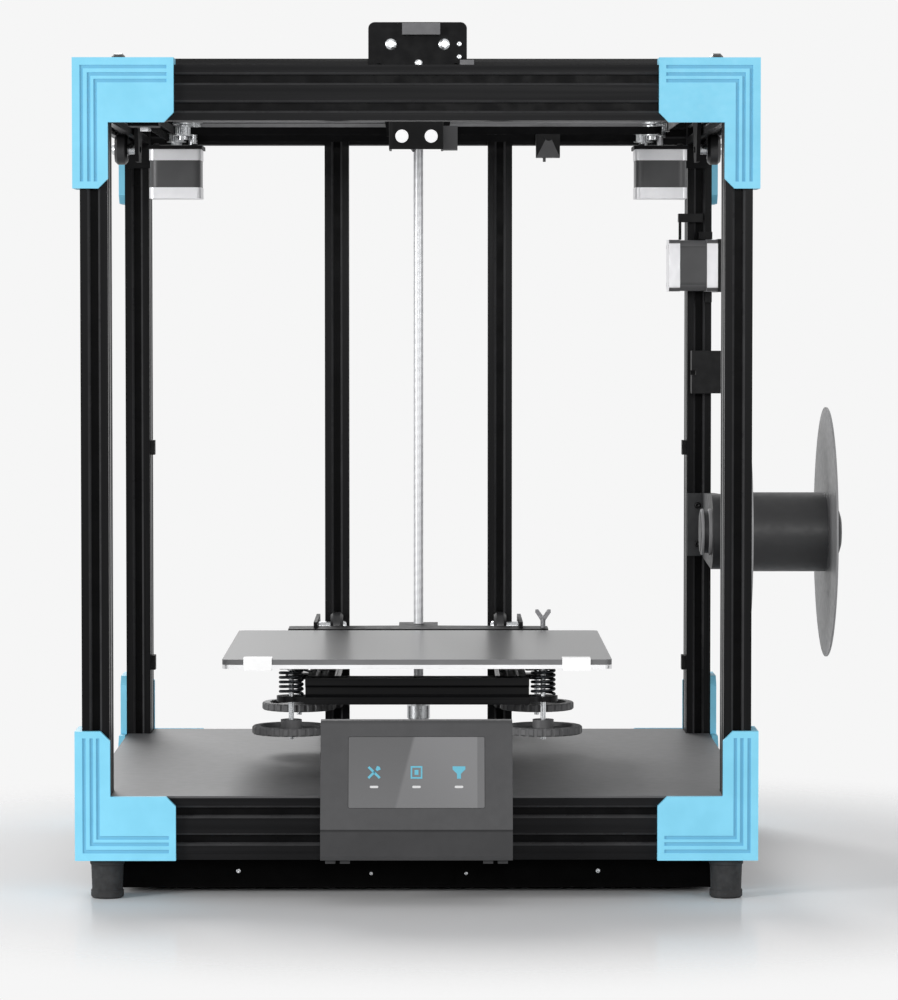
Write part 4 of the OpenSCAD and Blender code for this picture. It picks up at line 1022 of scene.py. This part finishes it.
def spring_mesh(middle):
    """A round wire wound about the upright line through a point; its first and last turns rise less."""
    shape = bmesh.new()
    low, high = SPRING_LOW.z + SPRING_WIRE, SPRING_HIGH.z - SPRING_WIRE
    steps = SPRING_TURNS * WIRE_STEPS
    rings = []
    for step in range(steps + 1):
        turns = step / steps * SPRING_TURNS
        rise = min(max((turns - FLAT_TURNS) / (SPRING_TURNS - 2 * FLAT_TURNS), 0), 1)
        z = low + FLAT_RISE * min(turns / FLAT_TURNS, 1) + (high - low - 2 * FLAT_RISE) * rise
        z += FLAT_RISE * max((turns - SPRING_TURNS + FLAT_TURNS) / FLAT_TURNS, 0)
        out = Vector((math.cos(turns * math.tau), math.sin(turns * math.tau), 0))
        centre = Vector((middle.x, middle.y, z)) + out * SPRING_RADIUS
        ring = []
        for side in range(WIRE_SIDES):
            angle = side / WIRE_SIDES * math.tau
            offset = out * math.cos(angle) + Vector((0, 0, math.sin(angle)))
            ring.append(shape.verts.new(centre + offset * SPRING_WIRE))
        rings.append(ring)
    for first, second in zip(rings, rings[1:]):
        for side in range(WIRE_SIDES):
            after = (side + 1) % WIRE_SIDES
            shape.faces.new((first[side], first[after], second[after], second[side]))
    shape.faces.new(list(reversed(rings[0])))
    shape.faces.new(rings[-1])
    return mesh_of(shape)


for number, middle in enumerate(knob_axes):
    spring = finish_piece(f"levelling_spring_{number + 1}", spring_mesh(middle), "bed", SPRING_STEEL)
    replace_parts(spring, "levelling_springs")

# The levelling knobs: dark moulded hand nuts with a bright threaded core, on the long screws that
# pass down from the bed plate through the springs and the frame bar.

KNOB_PLASTIC = moulded("knob_moulding", (92, 92, 93), (104, 104, 105))
CORE_RADIUS, CORE_DROP = 0.0031, 0.012
CORE_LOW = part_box("bed_frame")[0].z - CORE_DROP
for name in ("front_left", "front_right", "rear_left", "rear_right"):
    in_core = near_axis([f"knob_{name}_spin"], CORE_RADIUS)
    paint(f"knob_{name}", KNOB_PLASTIC, (BRIGHT_STEEL, lambda m, n: in_core(m, n) and m.z > CORE_LOW))

# The lead screw: a bright rolled thread with an 8 mm lead, in a clamp coupling on the motor shaft.
# The thread is only a faint shading, because its flanks are finer than the eye parts at arm's length.

SCREW_AXIS = Vector(JOINTS["lead_screw_spin"]["pos_m"])
SCREW_LEAD = 0.008
COUPLING_HEIGHT = 0.0241
COUPLING_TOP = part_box("lead_screw")[0].z + COUPLING_HEIGHT


def thread_height():
    """0 in the groove and 1 on the crest of a thread that climbs one lead per turn."""
    point = place()
    across, along = axis(point, "X") - SCREW_AXIS.x, axis(point, "Y") - SCREW_AXIS.y
    phase = (axis(point, "Z") / SCREW_LEAD - along.math("ARCTAN2", across) / math.tau).math("FRACT")
    return (phase - 0.5).math("ABSOLUTE").ramp(0.10, 0.40)


SCREW_THREAD = material(
    "screw_thread",
    lambda: thread_height().mix(linear(218, 219, 221), linear(228, 229, 231)),
    sheen(60, 0.32, 0.38),
    metallic=0.35,
)
paint("lead_screw", SCREW_THREAD, (BARE_ALUMINIUM, lambda m, n: m.z < COUPLING_TOP))

# The filament feeder on the right rear post: black block on its own motor, with a toothed brass
# gear, a sprung lever that presses the roller, and a brass tube fitting on top.

gear_mid = Vector(JOINTS["drive_gear_spin"]["pos_m"])
FITTING_MID = gear_mid + Vector((0.009, -0.0066, 0))
FITTING_RADIUS, FITTING_RISE = 0.0057, 0.0211
PIN_RADIUS, ROLLER_RADIUS = 0.0026, 0.0047


def on_fitting(middle, normal):
    return middle.z > gear_mid.z + FITTING_RISE and (middle - FITTING_MID).xy.length < FITTING_RADIUS


lever_pin = near_axis(["extruder_lever_pivot"], PIN_RADIUS)
paint("extruder_body", BLACK_PLASTIC, (BRASS, on_fitting), (BRIGHT_STEEL, lever_pin))
paint("drive_gear", BRASS)
lever_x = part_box("extruder_lever")[0].x
ROLLER_FROM, ROLLER_TO = lever_x + 0.0031, lever_x + 0.0069
ROLLER_MID = gear_mid - Vector((0, 0.012, 0))


def on_roller(middle, normal):
    return ROLLER_FROM < middle.x < ROLLER_TO and (middle - ROLLER_MID).yz.length < ROLLER_RADIUS


paint("extruder_lever", BLACK_PLASTIC, (BRIGHT_STEEL, on_roller))

# The filament switch and the bed's limit switch: small black moulded housings, the second with a
# grey body. The four panel clips are of the same black moulding.

SWITCH_GREY = moulded("switch_grey", (80, 80, 81), (86, 86, 87))
SWITCH_X, SWITCH_REACH, SWITCH_DROP = 0.106, 0.0098, 0.0026
SWITCH_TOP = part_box("top_beams")[0].z - SWITCH_DROP


def on_switch(middle, normal):
    return abs(middle.x - FRAME_MID.x - SWITCH_X) < SWITCH_REACH and middle.z < SWITCH_TOP


paint("sensors", BLACK_PLASTIC, (SWITCH_GREY, on_switch))
paint("panel_clips", BLACK_PLASTIC)

# The spool: moulded in pale grey with a darker core. It turns on a thick black hub with a pale
# nut, which a bracket holds to the right rear post by two black screws.

SPOOL_HUB = moulded("spool_hub", (30, 31, 33), (40, 41, 43))
SPOOL_AXIS = Vector(JOINTS["spool_spin"]["pos_m"])
NUT_RIM = moulded("nut_rim", (150, 150, 151), (160, 160, 161))
HUB_RADIUS, RIM_REACH = 0.0174, 0.03
RIM_X = FRAME_MID.x + POST_HALF - 0.0075


def on_nut_rim(middle, normal):
    beside_hub = middle.x < RIM_X and middle.y < SPOOL_AXIS.y + RIM_REACH
    return beside_hub and (middle - SPOOL_AXIS).yz.length > HUB_RADIUS


paint("spool_holder", SPOOL_HUB, (NUT_RIM, on_nut_rim))
RING_TURNS = 2400


def spool_rings():
    """Faint turning rings about the spool's axis, as a moulded flange shows them."""
    point = place()
    across = axis(point, "Y") - SPOOL_AXIS.y
    up = axis(point, "Z") - SPOOL_AXIS.z
    radius = (across * across + up * up).math("SQRT")
    return (radius * RING_TURNS).math("SINE") * 0.5 + 0.5


SPOOL_GREY = material(
    "spool_grey",
    mottle(30, (140, 140, 141), (147, 147, 148)),
    sheen(200, 0.36, 0.48),
    bump=(spool_rings, 0.00003),
)
SPOOL_CORE = moulded("spool_core", (62, 62, 63), (67, 67, 68), (0.42, 0.5))
SPOOL_LOW, SPOOL_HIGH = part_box("spool")
FLANGE, DRUM_RADIUS = 0.0017, 0.0320


def on_drum(middle, normal):
    inside = SPOOL_LOW.x + FLANGE < middle.x < SPOOL_HIGH.x - FLANGE
    return inside and (middle - SPOOL_AXIS).yz.length < DRUM_RADIUS


paint("spool", SPOOL_GREY, (SPOOL_CORE, on_drum))
bracket_sheet = 0.004
bracket_x = FRAME_MID.x + POST_HALF - 0.0112
bracket_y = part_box("spool_holder")[1].y - bracket_sheet
screws("spool_bracket_screws", "frame", 0.0028, BLACK_STEEL, [
    (Vector((bracket_x, bracket_y, SPOOL_AXIS.z + lift)), FORWARD) for lift in (-0.016, 0.016)
])

# The studio: a pale, faintly glossy floor that fades into a backdrop of the same tone, four large
# soft lamps behind, at both sides and in front, and a camera a little above the machine's middle.

bpy.data.objects.remove(HEADS)
BACKDROP = linear(246, 246, 246)
FADE_FROM, FADE_TO = 0.36, 0.66
WORLD_STRENGTH = 0.42
scene = bpy.context.scene
scene.view_settings.view_transform = "Standard"


def floor_fade():
    point = place()
    across, along = axis(point, "X"), axis(point, "Y")
    radius = (across * across + along * along).math("SQRT")
    return radius.ramp(FADE_FROM, FADE_TO, 1.0, 0.0)


FLOOR_PAINT = material("floor_paint", BACKDROP, 0.15, Alpha=floor_fade, IOR=1.045)
shape = bmesh.new()
bmesh.ops.create_grid(shape, x_segments=1, y_segments=1, size=2.0)
floor = bpy.data.objects.new("floor", mesh_of(shape))
floor.data.materials.append(FLOOR_PAINT)
scene.collection.objects.link(floor)

world = bpy.data.worlds.new("studio")
scene.world = world
world.use_nodes = True
tree = world.node_tree
Sock.tree = tree
tree.nodes.clear()
path = tree.nodes.new("ShaderNodeLightPath")
seen = Sock(path.outputs["Is Camera Ray"])
seen = seen.math("MAXIMUM", Sock(path.outputs["Is Glossy Ray"]))
seen = seen.math("MAXIMUM", Sock(path.outputs["Is Transmission Ray"]))
shown = tree.nodes.new("ShaderNodeBackground")
shown.inputs["Color"].default_value = BACKDROP
light = tree.nodes.new("ShaderNodeBackground")
light.inputs["Color"].default_value = linear(250, 250, 252)
light.inputs["Strength"].default_value = WORLD_STRENGTH
mixed = tree.nodes.new("ShaderNodeMixShader")
output = tree.nodes.new("ShaderNodeOutputWorld")
tree.links.new(seen.socket, mixed.inputs[0])
tree.links.new(light.outputs[0], mixed.inputs[1])
tree.links.new(shown.outputs[0], mixed.inputs[2])
tree.links.new(mixed.outputs[0], output.inputs[0])


def area_light(name, position, target, size, power):
    lamp = bpy.data.lights.new(name, "AREA")
    lamp.shape = "DISK"
    lamp.size = size
    lamp.energy = power
    item = bpy.data.objects.new(name, lamp)
    item.location = position
    item.rotation_euler = (Vector(target) - Vector(position)).to_track_quat("-Z", "Y").to_euler()
    scene.collection.objects.link(item)
    return item


lamps = [
    area_light("rear_top", (-0.8, 2.6, 1.9), (0, 0, 0.1), 1.2, 46),
    area_light("left_front", (-2.6, -1.9, 0.8), (0, 0, 0.35), 1.0, 50),
    area_light("right_side", (2.6, -2.4, 0.9), (0, 0, 0.35), 1.2, 20),
    area_light("front_fill", (0.15, -3.9, 1.0), (0, 0, 0.35), 0.8, 24),
]

camera_data = bpy.data.cameras.new("camera")
camera_data.lens = 150.68
camera_data.sensor_width = 36
camera = bpy.data.objects.new("camera", camera_data)
camera.location = (-0.0350, -3.2474, 0.4314)
look_down, look_right = 0.0466, 0.0042
camera.rotation_euler = (math.pi / 2 - look_down, 0, -look_right)
scene.collection.objects.link(camera)
scene.camera = camera
